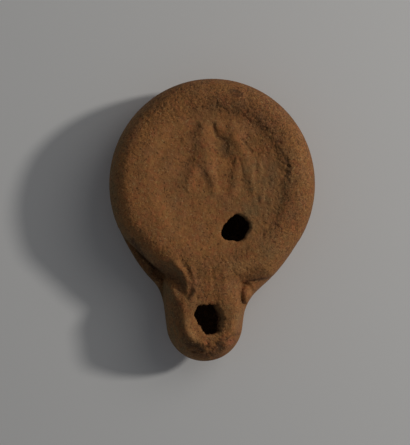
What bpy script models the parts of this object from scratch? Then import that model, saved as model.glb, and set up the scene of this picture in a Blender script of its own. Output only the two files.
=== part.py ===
"""Roman oil lamp of fired clay, pressed in a two part mould.

The lamp is one hollow piece with a filling hole in its discus and a wick hole in its nozzle.
The nozzle points along -Y and the back of the body along +Y. The origin is the middle of the
flat base, and the lamp stands on the plane z = 0. All sizes are in metres.
"""

import math

import bmesh
import bpy
import numpy as np
from mathutils.geometry import delaunay_2d_cdt

# Body in plan, and the heights of its rim and of the seam between the mould halves
BODY_HALF_WIDTH = 0.0364
BODY_HALF_LENGTH = 0.0373
RIM_HEIGHT = 0.0256
SEAM_HEIGHT = 0.0118
SHOULDER_WIDTH = 0.0088
SHOULDER_FULLNESS = 2.4

# Wear: the shoulder is wider and the discus shallower towards the front left
WEAR_ANGLE = 217.0
WORN_SHOULDER_WIDTH = 0.0108
WORN_DISCUS_DEPTH = 0.0021

# Clay left around the oil chamber
WALL_THICKNESS = 0.0032

# Base disc with its turned groove, and the bowl that rises from it to the seam
BASE_RADIUS = 0.0185
BASE_GROOVE_INSET = 0.0036
BASE_GROOVE_WIDTH = 0.0016
BASE_GROOVE_DEPTH = 0.0006
BOWL_ROUNDNESS = 0.55
BOWL_FLATNESS = 1.3

# Discus inside the rim, with the ring that frames it
DISCUS_DEPTH = 0.0032
RIM_ROLL_WIDTH = 0.0044
WORN_ROLL_WIDTH = 0.0120
RING_INSET = 0.0024
RING_WIDTH = 0.0013
RING_DEPTH = 0.0003

# Nozzle, measured from the front of the body to the tip
NOZZLE_REACH = 0.0254
NOZZLE_HEIGHT = 0.0240
NOZZLE_TIP_RADIUS = 0.0135
NOZZLE_ROOT_RADIUS = 0.0147
NOZZLE_TAPER_LENGTH = 0.0095
NOZZLE_SHIFT = -0.0027

# Rounded edges of the nozzle, and the slope of its top on the right near the body
NOZZLE_LEFT_WIDTH = 0.0074
NOZZLE_RIGHT_WIDTH = 0.0036
NOZZLE_TIP_WIDTH = 0.0086
NOZZLE_FULLNESS = 1.5
NOZZLE_SIDE_FALL = 0.0017
NOZZLE_SIDE_START = 0.0036
NOZZLE_SIDE_END = 0.0100

# Ledge and groove at the seam, where the upper half steps back beside the neck on the left
LEDGE_RISE = 0.0009
LEDGE_WIDTH = 0.0040
LEDGE_ANGLE = 228.0
LEDGE_SPREAD = 24.0
BODY_STEP = 0.0017
SEAM_GROOVE_DEPTH = 0.0004
SEAM_GROOVE_WIDTH = 0.0008

# Soft joints between the forms, and how far the upper half's edge stays inside the outline
NOZZLE_BLEND = 0.0015
LEDGE_BLEND = 0.0008
KNOB_BLEND = 0.0006
EDGE_INSET = 0.0003

# Neck between body and nozzle, wide below the seam and on the right above it.
# Places on the neck are measured from the front of the body
NECK_INSET = 0.0077
NECK_BACK_OFFSET = 0.0140
NECK_FRONT_RADIUS = 0.0124
NECK_FILLET = 0.0035
NECK_LOBE_RADIUS = 0.0094
NECK_LOBE_PLACE = (0.0168, 0.0132)
NECK_RISE = 0.0070

# Channel that joins the discus to the wick hole
CHANNEL_CENTRE = -0.0018
CHANNEL_HALF_WIDTH = 0.0058
CHANNEL_DEPTH = 0.0005

# Worn volutes beside the channel: a ridge on the left and a round knob on the right
VOLUTE_RIDGE = ((-0.0130, 0.0103), (-0.0102, 0.0067), (-0.0090, 0.0023), (-0.0092, 0.0001))
VOLUTE_GROOVE = ((-0.0112, 0.0111), (-0.0084, 0.0071), (-0.0072, 0.0028), (-0.0074, -0.0012))
VOLUTE_WIDTH = 0.0020
VOLUTE_RELIEF = 0.0007
NECK_HOLLOW = ((-0.0180, 0.0070), (-0.0145, 0.0052), (-0.0118, 0.0034), (-0.0098, -0.0002))
NECK_HOLLOW_WIDTH = 0.0040
NECK_HOLLOW_DEPTH = 0.0030
KNOB_PLACE = (0.0116, -0.0014)
KNOB_HALF_WIDTH = 0.0026
KNOB_HALF_LENGTH = 0.0036
KNOB_HEIGHT = 0.0212
KNOB_GROOVE_WIDTH = 0.0009
KNOB_GROOVE_DEPTH = 0.0006

# Filling hole and wick hole: place, span, and corners as shares of the span
FILL_HOLE_PLACE = (0.0084, -0.0153)
FILL_HOLE_SPAN = 0.0110
FILL_HOLE_CORNERS = ((0.05, 0.50), (0.50, 0.06), (0.22, -0.36), (0.08, -0.44), (-0.40, -0.38),
                     (-0.51, -0.16), (-0.32, 0.20))
WICK_HOLE_SETBACK = 0.0150
WICK_HOLE_OFFSET = -0.0010
WICK_HOLE_SPAN = 0.0112
WICK_HOLE_CORNERS = ((-0.34, 0.50), (0.13, 0.52), (0.42, 0.29), (0.48, 0.03), (0.34, -0.38),
                     (-0.11, -0.44), (-0.30, -0.18), (-0.51, 0.20))
WICK_DISH_DEPTH = 0.0004
WICK_DISH_WIDTH = 0.0032

# Two worn figures in low relief. Angles are in degrees from straight down, to the right
RELIEF_HEIGHT = 0.0013
FIGURES = (
    {"hip": (-0.0026, 0.0086), "lean": 5.0, "legs": (-40.0, 20.0), "arms": (-72.0, 30.0)},
    {"hip": (0.0102, 0.0084), "lean": 18.0, "legs": (-18.0, 27.0), "arms": (-122.0, 50.0)},
)

# Length and half width of each part of a figure, and the worn fold of cloth beside the second
TORSO_SIZE = (0.0083, 0.0038)
HEAD_SIZE = (0.0030, 0.0022)
THIGH_SIZE = (0.0060, 0.0026)
SHIN_SIZE = (0.0058, 0.0020)
ARM_SIZE = (0.0066, 0.0016)
CLOTH_FOLD = ((0.0162, 0.0066), (0.0174, 0.0010), (0.0170, -0.0058))
CLOTH_HALF_WIDTH = 0.0013

# Fineness of the faces
OUTLINE_POINTS = 150
HOLE_POINTS = 24
CAVITY_POINTS = 84
BASE_POINTS = 90
TOP_SPACING = 0.0017
UNDER_SPACING = 0.0036
CAVITY_SPACING = 0.0038
GRID_STEP = 0.0005

CLAY_COLOUR = (0.30, 0.135, 0.046, 1.0)
CLAY_ROUGHNESS = 0.85

FRONT_Y = -BODY_HALF_LENGTH
TIP_Y = FRONT_Y - NOZZLE_REACH
TURN = 2.0 * math.pi


def smooth_min(first, second, reach):
    """Smaller of two fields, with a soft joint as wide as reach."""
    share = np.clip(1.0 - np.abs(first - second) / reach, 0.0, 1.0)
    return np.minimum(first, second) - share * share * reach / 4.0


def smooth_max(first, second, reach):
    """Larger of two fields, with a soft joint as wide as reach."""
    return -smooth_min(-first, -second, reach)


def smooth_step(value, low, high):
    """Rise from 0 at low to 1 at high without a corner."""
    share = np.clip((value - low) / (high - low), 0.0, 1.0)
    return share * share * (3.0 - 2.0 * share)


def bump(distance, width):
    """One at no distance, falling softly to nothing at the width."""
    share = np.clip(1.0 - (distance / width) ** 2, 0.0, 1.0)
    return share * share


def dome(depth, width, fullness):
    """Share of the full height at a depth inside an edge, for a round shoulder."""
    run = np.clip(1.0 - depth / width, 0.0, 1.0)
    return (1.0 - run ** fullness) ** (1.0 / fullness)


def ellipse_distance(x, y, half_width, half_length):
    """Distance outside an ellipse about the origin, for one that is nearly round."""
    share = np.hypot(x / half_width, y / half_length)
    return (share - 1.0) * math.sqrt(half_width * half_length)


def hull_distance(x, y, back, back_radius, front, front_radius):
    """Distance outside the hull of two circles."""
    along_x = front[0] - back[0]
    along_y = front[1] - back[1]
    length = math.hypot(along_x, along_y)
    slope = (back_radius - front_radius) / length
    level = math.sqrt(1.0 - slope * slope)
    forward = ((x - back[0]) * along_x + (y - back[1]) * along_y) / length
    aside = np.abs((x - back[0]) * along_y - (y - back[1]) * along_x) / length
    place = level * forward - slope * aside
    side = level * aside + slope * forward - back_radius
    near_back = np.hypot(aside, forward) - back_radius
    near_front = np.hypot(aside, forward - length) - front_radius
    return np.where(place < 0.0, near_back, np.where(place > level * length, near_front, side))


def stroke_distance(x, y, start, end):
    """Distance from a straight stroke."""
    run_x = end[0] - start[0]
    run_y = end[1] - start[1]
    share = ((x - start[0]) * run_x + (y - start[1]) * run_y) / (run_x ** 2 + run_y ** 2)
    share = np.clip(share, 0.0, 1.0)
    return np.hypot(x - start[0] - share * run_x, y - start[1] - share * run_y)


def path_distance(x, y, points):
    """Distance from a path of straight strokes."""
    strokes = [stroke_distance(x, y, start, end) for start, end in zip(points, points[1:])]
    return np.minimum.reduce(strokes)


def nozzle_distance(x, y):
    """Distance outside the nozzle in plan: tapered sides and a round tip."""
    middle = (NOZZLE_SHIFT, 0.0)
    front = (NOZZLE_SHIFT, TIP_Y + NOZZLE_TIP_RADIUS)
    back = (NOZZLE_SHIFT, front[1] + NOZZLE_TAPER_LENGTH)
    tapered = hull_distance(x, y, back, NOZZLE_ROOT_RADIUS, front, NOZZLE_TIP_RADIUS)
    root = hull_distance(x, y, middle, NOZZLE_ROOT_RADIUS, back, NOZZLE_ROOT_RADIUS)
    return np.minimum(tapered, root)


def outline_distance(x, y):
    """Distance outside the whole lamp in plan, as its lower half draws it."""
    body = ellipse_distance(x, y, BODY_HALF_WIDTH, BODY_HALF_LENGTH)
    back = (NOZZLE_SHIFT / 4.0, -NECK_BACK_OFFSET)
    front = (NOZZLE_SHIFT / 2.0, FRONT_Y)
    neck = hull_distance(x, y, back, BODY_HALF_WIDTH - NECK_INSET, front, NECK_FRONT_RADIUS)
    return smooth_min(smooth_min(body, neck, NECK_FILLET), nozzle_distance(x, y), NECK_FILLET)


def upper_body_distance(x, y):
    """Distance outside the upper body in plan: the round body and the lobe on its right."""
    turned = np.degrees(np.arctan2(-y, -x)) + 180.0 - LEDGE_ANGLE
    step = BODY_STEP * bump(turned, LEDGE_SPREAD)
    body = ellipse_distance(x, y, BODY_HALF_WIDTH, BODY_HALF_LENGTH) + step
    lobe_y = FRONT_Y + NECK_LOBE_PLACE[1]
    lobe = np.hypot(x - NECK_LOBE_PLACE[0], y - lobe_y) - NECK_LOBE_RADIUS
    return smooth_min(body, lobe, NECK_FILLET)


def upper_distance(x, y):
    """Distance outside the upper half of the lamp in plan."""
    return np.minimum(upper_body_distance(x, y), nozzle_distance(x, y))


def upper_inset_distance(x, y, distance):
    """Distance outside the upper half after an inset, kept inside the lower half's outline."""
    return np.maximum(upper_distance(x, y) + distance, outline_distance(x, y) + EDGE_INSET)


def wick_hole_place():
    """Middle of the wick hole in plan."""
    return (WICK_HOLE_OFFSET, TIP_Y + WICK_HOLE_SETBACK)


def nozzle_edge_width(x, y):
    """Width of the nozzle's rounded edge: narrow on the right, wide on the left and at the tip."""
    right = smooth_step(x - NOZZLE_SHIFT, -0.3 * NOZZLE_TIP_RADIUS, 0.9 * NOZZLE_TIP_RADIUS)
    side = NOZZLE_LEFT_WIDTH + (NOZZLE_RIGHT_WIDTH - NOZZLE_LEFT_WIDTH) * right
    before_middle = TIP_Y + NOZZLE_TIP_RADIUS - y
    front = smooth_step(before_middle, -0.2 * NOZZLE_TIP_RADIUS, 0.9 * NOZZLE_TIP_RADIUS)
    return side + (NOZZLE_TIP_WIDTH - side) * front * (1.0 - 0.5 * right)


def nozzle_side_fall(x, y):
    """How far the nozzle's top slopes down to the right where it joins the body."""
    right = smooth_step(x, NOZZLE_SIDE_START, NOZZLE_SIDE_END)
    behind = smooth_step(y, TIP_Y + NOZZLE_TIP_RADIUS, TIP_Y + 2.0 * NOZZLE_TIP_RADIUS)
    return NOZZLE_SIDE_FALL * right * behind


def ledge_rise(x, y):
    """Rise of the lower half past the seam: a low ledge, but a filled neck on the right."""
    right = smooth_step(x, 0.0, KNOB_PLACE[0])
    knob_y = FRONT_Y + KNOB_PLACE[1]
    behind = smooth_step(y, knob_y - 2.0 * KNOB_HALF_LENGTH, knob_y)
    return LEDGE_RISE + (NECK_RISE - LEDGE_RISE) * right * behind


def channel_share(x, y):
    """Share of the channel's depth at a place: full in its middle, none past its sides."""
    across = 1.0 - smooth_step(np.abs(x - CHANNEL_CENTRE), 0.5 * CHANNEL_HALF_WIDTH, CHANNEL_HALF_WIDTH)
    along = 1.0 - smooth_step(y, FRONT_Y + 0.4 * SHOULDER_WIDTH, FRONT_Y + 2.6 * SHOULDER_WIDTH)
    return across * along


def worn_share(x, y):
    """One on the worn side of the body, and none where its rim is crisp."""
    radius = min(BODY_HALF_WIDTH, BODY_HALF_LENGTH)
    angle = math.radians(WEAR_ANGLE)
    toward = (math.cos(angle) * x + math.sin(angle) * y) / radius
    return smooth_step(toward, -0.3, 0.8)


def mixed(x, y, crisp, worn):
    """A size that changes from its crisp value to its worn value over the body."""
    return crisp + (worn - crisp) * worn_share(x, y)


def discus_fall(x, y):
    """How far the top lies below the rim inside its crest: a rolled edge and a wide bowl."""
    depth = -ellipse_distance(x, y, BODY_HALF_WIDTH, BODY_HALF_LENGTH)
    width = mixed(x, y, SHOULDER_WIDTH, WORN_SHOULDER_WIDTH)
    inside = np.maximum(depth - width, 0.0)
    radius = min(BODY_HALF_WIDTH, BODY_HALF_LENGTH) - width
    roll = smooth_step(inside, 0.0, mixed(x, y, RIM_ROLL_WIDTH, WORN_ROLL_WIDTH))
    bowl = 1.0 - np.clip(1.0 - inside / radius, 0.0, 1.0) ** 2
    bowl = bowl * mixed(x, y, 1.0, roll)
    fall = mixed(x, y, DISCUS_DEPTH, WORN_DISCUS_DEPTH) * (0.25 * roll + 0.75 * bowl)
    ring = bump(depth - SHOULDER_WIDTH - RING_INSET, RING_WIDTH) * mixed(x, y, RING_DEPTH, 0.0)
    return fall + ring


def front_fall(x, y):
    """How far the rim's crest drops where the discus runs on into the nozzle."""
    back = FRONT_Y + 2.5 * SHOULDER_WIDTH
    front = 1.0 - smooth_step(y, FRONT_Y, back)
    middle = 1.0 - smooth_step(np.abs(x - CHANNEL_CENTRE), CHANNEL_HALF_WIDTH, 3.6 * CHANNEL_HALF_WIDTH)
    return (RIM_HEIGHT - NOZZLE_HEIGHT) * front * middle


def figure_strokes(figure):
    """Strokes of one figure, each as start, end and half width."""
    hip_x, hip_y = figure["hip"]

    def reach(start, degrees, length):
        angle = math.radians(degrees)
        return (start[0] + length * math.sin(angle), start[1] - length * math.cos(angle))

    hip = (hip_x, hip_y)
    neck = reach(hip, 180.0 + figure["lean"], TORSO_SIZE[0])
    head = reach(neck, 180.0 + figure["lean"], HEAD_SIZE[0])
    strokes = [(neck, head, HEAD_SIZE[1]), (hip, neck, TORSO_SIZE[1])]
    for angle in figure["legs"]:
        knee = reach(hip, angle, THIGH_SIZE[0])
        foot = reach(knee, 0.55 * angle, SHIN_SIZE[0])
        strokes.append((hip, knee, THIGH_SIZE[1]))
        strokes.append((knee, foot, SHIN_SIZE[1]))
    for angle in figure["arms"]:
        hand = reach(neck, angle, ARM_SIZE[0])
        strokes.append((neck, hand, ARM_SIZE[1]))
    return strokes


def figure_relief(x, y):
    """Height of the worn figures above the discus."""
    share = math.sqrt(CLOTH_HALF_WIDTH / TORSO_SIZE[1])
    relief = share * bump(path_distance(x, y, CLOTH_FOLD), 1.6 * CLOTH_HALF_WIDTH)
    for figure in FIGURES:
        for start, end, half_width in figure_strokes(figure):
            share = math.sqrt(half_width / TORSO_SIZE[1])
            form = share * bump(stroke_distance(x, y, start, end), 1.6 * half_width)
            relief = smooth_max(relief, form, 0.35)
    return RELIEF_HEIGHT * relief


def neck_path(points):
    """Path on the neck, moved from the front of the body to the lamp's own frame."""
    return [(x, FRONT_Y + y) for x, y in points]


def knob_distance(x, y):
    """Distance outside the round knob in plan."""
    knob_y = FRONT_Y + KNOB_PLACE[1]
    return ellipse_distance(x - KNOB_PLACE[0], y - knob_y, KNOB_HALF_WIDTH, KNOB_HALF_LENGTH)


def neck_hollow(x, y):
    """Depth of the hollow on the left, where the shoulder meets the neck."""
    return NECK_HOLLOW_DEPTH * bump(path_distance(x, y, neck_path(NECK_HOLLOW)), NECK_HOLLOW_WIDTH)


def volute_relief(x, y):
    """Ridge and grooves of the worn volutes, up and down from the surface."""
    ridge = bump(path_distance(x, y, neck_path(VOLUTE_RIDGE)), VOLUTE_WIDTH)
    groove = bump(path_distance(x, y, neck_path(VOLUTE_GROOVE)), 0.8 * VOLUTE_WIDTH)
    ring = bump(knob_distance(x, y), KNOB_GROOVE_WIDTH)
    knob_y = FRONT_Y + KNOB_PLACE[1]
    left_of_knob = 1.0 - smooth_step(x, KNOB_PLACE[0], KNOB_PLACE[0] + KNOB_HALF_WIDTH)
    above_knob = smooth_step(y, knob_y, knob_y + KNOB_HALF_LENGTH)
    knob_groove = KNOB_GROOVE_DEPTH * ring * np.maximum(left_of_knob, above_knob)
    return VOLUTE_RELIEF * (ridge - 0.8 * groove) - knob_groove


def knob_top(x, y):
    """Height of the round knob's own top."""
    inside = -knob_distance(x, y)
    radius = math.sqrt(KNOB_HALF_WIDTH * KNOB_HALF_LENGTH)
    knob = SEAM_HEIGHT + (KNOB_HEIGHT - SEAM_HEIGHT) * dome(inside, radius, SHOULDER_FULLNESS)
    return np.where(inside > 0.0, knob, SEAM_HEIGHT)


def seam_groove(x, y, depth, inner_depth):
    """Share of the groove at the foot of the upper half, where the ledge is wide enough."""
    open_ledge = smooth_step(depth, 0.3 * LEDGE_WIDTH, 0.6 * LEDGE_WIDTH)
    outside = inner_depth < SEAM_GROOVE_WIDTH
    left = 1.0 - smooth_step(x, NOZZLE_SHIFT, KNOB_PLACE[0])
    return bump(np.abs(inner_depth), SEAM_GROOVE_WIDTH) * open_ledge * outside * left


def top_height(x, y, carved=True):
    """Height of the upper surface at a place inside the outline."""
    depth = np.maximum(-outline_distance(x, y), 0.0)
    rise = RIM_HEIGHT - SEAM_HEIGHT
    body_depth = -upper_body_distance(x, y)
    width = mixed(x, y, SHOULDER_WIDTH, WORN_SHOULDER_WIDTH)
    body = SEAM_HEIGHT + rise * dome(np.maximum(body_depth, 0.0), width, SHOULDER_FULLNESS)
    body = body - (discus_fall(x, y) + front_fall(x, y)) * np.clip(body_depth / width, 0.0, 1.0)
    nozzle_depth = np.maximum(-nozzle_distance(x, y), 0.0)
    edge_width = nozzle_edge_width(x, y)
    share = dome(nozzle_depth, edge_width, NOZZLE_FULLNESS)
    nozzle = SEAM_HEIGHT + (NOZZLE_HEIGHT - SEAM_HEIGHT - nozzle_side_fall(x, y)) * share
    back = smooth_step(y, FRONT_Y + 0.6 * SHOULDER_WIDTH, FRONT_Y + 1.6 * SHOULDER_WIDTH)
    nozzle = nozzle - DISCUS_DEPTH * back
    ledge = SEAM_HEIGHT + ledge_rise(x, y) * dome(depth, LEDGE_WIDTH, NOZZLE_FULLNESS)
    height = smooth_max(body, nozzle, NOZZLE_BLEND)
    if carved:
        height = smooth_max(height, knob_top(x, y), KNOB_BLEND)
    height = smooth_max(height, ledge, LEDGE_BLEND)
    height = height - CHANNEL_DEPTH * channel_share(x, y) - neck_hollow(x, y)
    wick_x, wick_y = wick_hole_place()
    from_hole = np.hypot(x - wick_x, y - wick_y) - WICK_HOLE_SPAN / 2.0
    height = height - WICK_DISH_DEPTH * bump(np.maximum(from_hole, 0.0), WICK_DISH_WIDTH)
    if carved:
        inner_depth = np.maximum(body_depth, -nozzle_distance(x, y))
        height = height - SEAM_GROOVE_DEPTH * seam_groove(x, y, depth, inner_depth)
        height = height + figure_relief(x, y) + volute_relief(x, y)
    edge = SEAM_HEIGHT + rise * dome(depth, SHOULDER_WIDTH, SHOULDER_FULLNESS)
    return np.clip(height, SEAM_HEIGHT, np.maximum(edge, SEAM_HEIGHT))


def bottom_height(x, y):
    """Height of the lower surface: flat base, turned groove and rising bowl."""
    depth = np.maximum(-outline_distance(x, y), 0.0)
    radius = np.hypot(x, y)
    beyond = np.maximum(radius - BASE_RADIUS, 0.0)
    share = beyond / np.maximum(beyond + depth, 1e-9)
    bowl = SEAM_HEIGHT * (1.0 - (1.0 - share ** BOWL_FLATNESS) ** BOWL_ROUNDNESS)
    groove = bump(radius - (BASE_RADIUS - BASE_GROOVE_INSET), BASE_GROOVE_WIDTH)
    return bowl + BASE_GROOVE_DEPTH * groove


def resample(points, count):
    """Points at even steps along a closed path."""
    closed = np.vstack([points, points[:1]])
    steps = np.hypot(*np.diff(closed, axis=0).T)
    travel = np.concatenate([[0.0], np.cumsum(steps)])
    places = np.linspace(0.0, travel[-1], count, endpoint=False)
    return np.column_stack([np.interp(places, travel, closed[:, axis]) for axis in range(2)])


def trace(distance, centre, count):
    """Closed outline where a distance field is zero, seen from a centre inside it."""
    angles = np.linspace(0.0, TURN, 8 * count, endpoint=False)
    inner = np.zeros_like(angles)
    outer = np.full_like(angles, BODY_HALF_LENGTH + BODY_HALF_WIDTH + NOZZLE_REACH)
    for _ in range(40):
        middle = (inner + outer) / 2.0
        value = distance(centre[0] + middle * np.cos(angles), centre[1] + middle * np.sin(angles))
        inner = np.where(value < 0.0, middle, inner)
        outer = np.where(value < 0.0, outer, middle)
    path = np.column_stack([centre[0] + inner * np.cos(angles), centre[1] + inner * np.sin(angles)])
    return resample(path, count)


def inset(points, distance):
    """Closed outline moved inward along its own normals."""
    along = np.roll(points, -1, axis=0) - np.roll(points, 1, axis=0)
    normal = np.column_stack([-along[:, 1], along[:, 0]])
    normal = normal / np.linalg.norm(normal, axis=1)[:, None]
    return points + normal * distance


def hole_outline(place, span, corners, count):
    """Rounded outline through a hole's corners, running the way the outline does."""
    points = np.array(corners)[::-1] * span
    for _ in range(3):
        after = np.roll(points, -1, axis=0)
        points = np.stack([0.82 * points + 0.18 * after, 0.18 * points + 0.82 * after], axis=1)
        points = points.reshape(-1, 2)
    return resample(points, count) + np.array(place)


def inside_polygon(points, polygon):
    """Whether each point lies inside a closed polygon."""
    inside = np.zeros(len(points), dtype=bool)
    for (x0, y0), (x1, y1) in zip(polygon, np.roll(polygon, -1, axis=0)):
        if y0 == y1:
            continue
        crosses = (points[:, 1] < y0) != (points[:, 1] < y1)
        at = x0 + (points[:, 1] - y0) * (x1 - x0) / (y1 - y0)
        inside ^= crosses & (points[:, 0] < at)
    return inside


def clearance(points, polygon):
    """Distance of each point from the nearest side of a closed polygon."""
    ends = np.roll(polygon, -1, axis=0)
    nearest = np.full(len(points), np.inf)
    for start, end in zip(polygon, ends):
        nearest = np.minimum(nearest, stroke_distance(points[:, 0], points[:, 1], start, end))
    return nearest


def fill_points(border, loops, spacing, margin):
    """Even points inside a border and outside its loops, clear of both by a margin."""
    low = border.min(axis=0)
    high = border.max(axis=0)
    row_step = spacing * math.sqrt(3.0) / 2.0
    rows = np.arange(low[1], high[1], row_step)
    points = []
    for index, row in enumerate(rows):
        start = low[0] + (index % 2) * spacing / 2.0
        columns = np.arange(start, high[0], spacing)
        points.append(np.column_stack([columns, np.full_like(columns, row)]))
    points = np.vstack(points)
    keep = inside_polygon(points, border) & (clearance(points, border) > margin)
    for loop in loops:
        keep &= ~inside_polygon(points, loop) & (clearance(points, loop) > margin)
    return points[keep]


def place_verts(mesh, points, heights):
    """New mesh points at the given places."""
    return [mesh.verts.new((x, y, z)) for (x, y), z in zip(points, heights)]


def span_sheet(mesh, border, loops, loose, upward):
    """Faces of one sheet between a border and its loops, through the loose points."""
    rows = [border] + loops
    verts = [vert for row in rows for vert in row] + loose
    edges = []
    first = 0
    for row in rows:
        edges += [(first + i, first + (i + 1) % len(row)) for i in range(len(row))]
        first += len(row)
    flat = [vert.co.xy for vert in verts]
    _, _, faces, origins, _, _ = delaunay_2d_cdt(flat, edges, [], 0, 1e-9)
    outlines = [np.array([vert.co.xy for vert in row]) for row in rows]
    corners = [[verts[origins[corner][0]] for corner in face] for face in faces]
    centres = np.array([np.mean([vert.co.xy for vert in face], axis=0) for face in corners])
    keep = inside_polygon(centres, outlines[0])
    for loop in outlines[1:]:
        keep &= ~inside_polygon(centres, loop)
    for face, kept in zip(corners, keep):
        if kept:
            mesh.faces.new(face if upward else face[::-1])


def bridge(mesh, upper, lower):
    """Wall between two loops that run the same way, facing the middle of the loops."""
    for index, vert in enumerate(upper):
        after = (index + 1) % len(upper)
        mesh.faces.new((vert, upper[after], lower[after], lower[index]))


def apart(points, others, gap):
    """The points that keep a gap to all the others."""
    if not len(others) or not len(points):
        return points
    steps = points[:, None, :] - others[None, :, :]
    return points[np.hypot(steps[:, :, 0], steps[:, :, 1]).min(axis=1) > gap]


def shoulder_insets(width, steps):
    """Insets that close up towards a round edge."""
    return [width * (1.0 - math.cos(math.pi / 2.0 * step / steps)) for step in range(1, steps + 1)]


class Cavity:
    """Oil chamber left when a ball as big as the wall's thickness rolls along both outer sheets."""

    def __init__(self):
        reach = max(BODY_HALF_WIDTH, BODY_HALF_LENGTH) + 2.0 * WALL_THICKNESS
        self.x = np.arange(-reach, reach, GRID_STEP)
        self.y = np.arange(TIP_Y - 2.0 * WALL_THICKNESS, reach, GRID_STEP)
        grid_x, grid_y = np.meshgrid(self.x, self.y)
        inside = outline_distance(grid_x, grid_y) < 0.0
        upper = np.where(inside, top_height(grid_x, grid_y, carved=False), SEAM_HEIGHT)
        lower = np.where(inside, bottom_height(grid_x, grid_y), SEAM_HEIGHT)
        self.ceiling = self.soften(-self.rolled(-upper))
        self.floor = self.soften(self.rolled(lower))

    @staticmethod
    def rolled(surface):
        """Highest reach of a ball whose middle moves along the surface."""
        steps = int(WALL_THICKNESS / GRID_STEP)
        raised = np.full_like(surface, -np.inf)
        for step_x in range(-steps, steps + 1):
            for step_y in range(-steps, steps + 1):
                across = math.hypot(step_x, step_y) * GRID_STEP
                if across < WALL_THICKNESS:
                    lift = math.sqrt(WALL_THICKNESS ** 2 - across ** 2)
                    moved = np.roll(surface, (step_y, step_x), axis=(0, 1))
                    raised = np.maximum(raised, moved + lift)
        return raised

    @staticmethod
    def soften(surface):
        """Surface with its grid steps smoothed away."""
        for _ in range(4):
            for axis in range(2):
                sides = np.roll(surface, 1, axis=axis) + np.roll(surface, -1, axis=axis)
                surface = surface / 2.0 + sides / 4.0
        return surface

    def read(self, surface, x, y):
        """Height of a surface between the grid's points."""
        column = np.clip((x - self.x[0]) / GRID_STEP, 0.0, len(self.x) - 1.001)
        row = np.clip((y - self.y[0]) / GRID_STEP, 0.0, len(self.y) - 1.001)
        left = column.astype(int)
        below = row.astype(int)
        across = column - left
        along = row - below
        near = surface[below, left] * (1.0 - across) + surface[below, left + 1] * across
        far = surface[below + 1, left] * (1.0 - across) + surface[below + 1, left + 1] * across
        return near * (1.0 - along) + far * along

    def ceiling_height(self, x, y):
        return self.read(self.ceiling, x, y)

    def floor_height(self, x, y):
        return self.read(self.floor, x, y)

    def edge_distance(self, x, y):
        """Less than zero where the chamber is open."""
        return self.floor_height(x, y) - self.ceiling_height(x, y)


def along_path(points, spacing):
    """Points at even steps along a path of straight strokes."""
    path = np.array(points)
    steps = np.hypot(*np.diff(path, axis=0).T)
    travel = np.concatenate([[0.0], np.cumsum(steps)])
    places = np.linspace(0.0, travel[-1], int(travel[-1] / spacing) + 1)
    return np.column_stack([np.interp(places, travel, path[:, axis]) for axis in range(2)])


def round_path(place, half_width, half_length, spacing):
    """Points at even steps around an ellipse."""
    count = int(TURN * math.sqrt(half_width * half_length) / spacing)
    angles = np.linspace(0.0, TURN, count, endpoint=False)
    circle = np.column_stack([half_width * np.cos(angles), half_length * np.sin(angles)])
    return circle + np.array(place)


def beside_stroke(start, end, aside):
    """The stroke moved sideways by a distance."""
    run_x = end[0] - start[0]
    run_y = end[1] - start[1]
    length = math.hypot(run_x, run_y)
    shift_x = -aside * run_y / length
    shift_y = aside * run_x / length
    return [(start[0] + shift_x, start[1] + shift_y), (end[0] + shift_x, end[1] + shift_y)]


def figure_points():
    """Points along the middle and both feet of each stroke of the figures."""
    features = [along_path(CLOTH_FOLD, 0.8 * TOP_SPACING)]
    for figure in FIGURES:
        for start, end, half_width in figure_strokes(figure):
            for share in (0.0, -1.3, 1.3):
                side = beside_stroke(start, end, share * half_width)
                features.append(along_path(side, 0.8 * TOP_SPACING))
    return features


def feature_points():
    """Points along the relief, the ring, the volutes and the knob, so that faces follow them."""
    features = figure_points()
    features.append(along_path(neck_path(VOLUTE_RIDGE), 0.7 * TOP_SPACING))
    features.append(along_path(neck_path(VOLUTE_GROOVE), 0.7 * TOP_SPACING))
    knob = (KNOB_PLACE[0], FRONT_Y + KNOB_PLACE[1])
    for grown in (-1.0, 0.0, 1.0):
        half_width = KNOB_HALF_WIDTH + grown * KNOB_GROOVE_WIDTH
        half_length = KNOB_HALF_LENGTH + grown * KNOB_GROOVE_WIDTH
        features.append(round_path(knob, half_width, half_length, 0.7 * TOP_SPACING))
    for share in (-1.0, 0.0, 1.0):
        edge = SHOULDER_WIDTH + RING_INSET + share * RING_WIDTH
        ring = round_path((0.0, 0.0), BODY_HALF_WIDTH - edge, BODY_HALF_LENGTH - edge, TOP_SPACING)
        features.append(ring[worn_share(*ring.T) < 0.9])
    points = np.empty((0, 2))
    for feature in features:
        points = np.vstack([points, apart(feature, points, 0.45 * TOP_SPACING)])
    return points[outline_distance(*points.T) < -0.4 * TOP_SPACING]


def top_points(outline, holes):
    """Points of the upper sheet in rings along both halves' edges, and an even fill within."""
    centre = (0.0, FRONT_Y / 2.0)
    insets = shoulder_insets(SHOULDER_WIDTH, 6)
    gap = 0.45 * TOP_SPACING
    points = feature_points()
    for distance in insets:
        ring = inset(outline, distance)
        level = np.abs(upper_distance(*ring.T) + distance) < 0.1 * distance
        points = np.vstack([points, apart(ring[level], points, gap)])
    for distance in [-SEAM_GROOVE_WIDTH, 0.0] + insets:
        ring = trace(lambda x, y: upper_inset_distance(x, y, distance), centre, OUTLINE_POINTS)
        on_ledge = -outline_distance(*ring.T) > max(distance, 0.0) + 0.3 * gap
        points = np.vstack([points, apart(ring[on_ledge], points, gap)])
    for distance in insets[:3]:
        ring = inset(outline, distance)
        on_ledge = upper_distance(*ring.T) > 0.3 * gap
        points = np.vstack([points, apart(ring[on_ledge], points, gap)])
    middle = fill_points(inset(outline, insets[0]), holes, TOP_SPACING, 0.5 * TOP_SPACING)
    return np.vstack([points, apart(middle, points, 0.75 * TOP_SPACING)])


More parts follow.
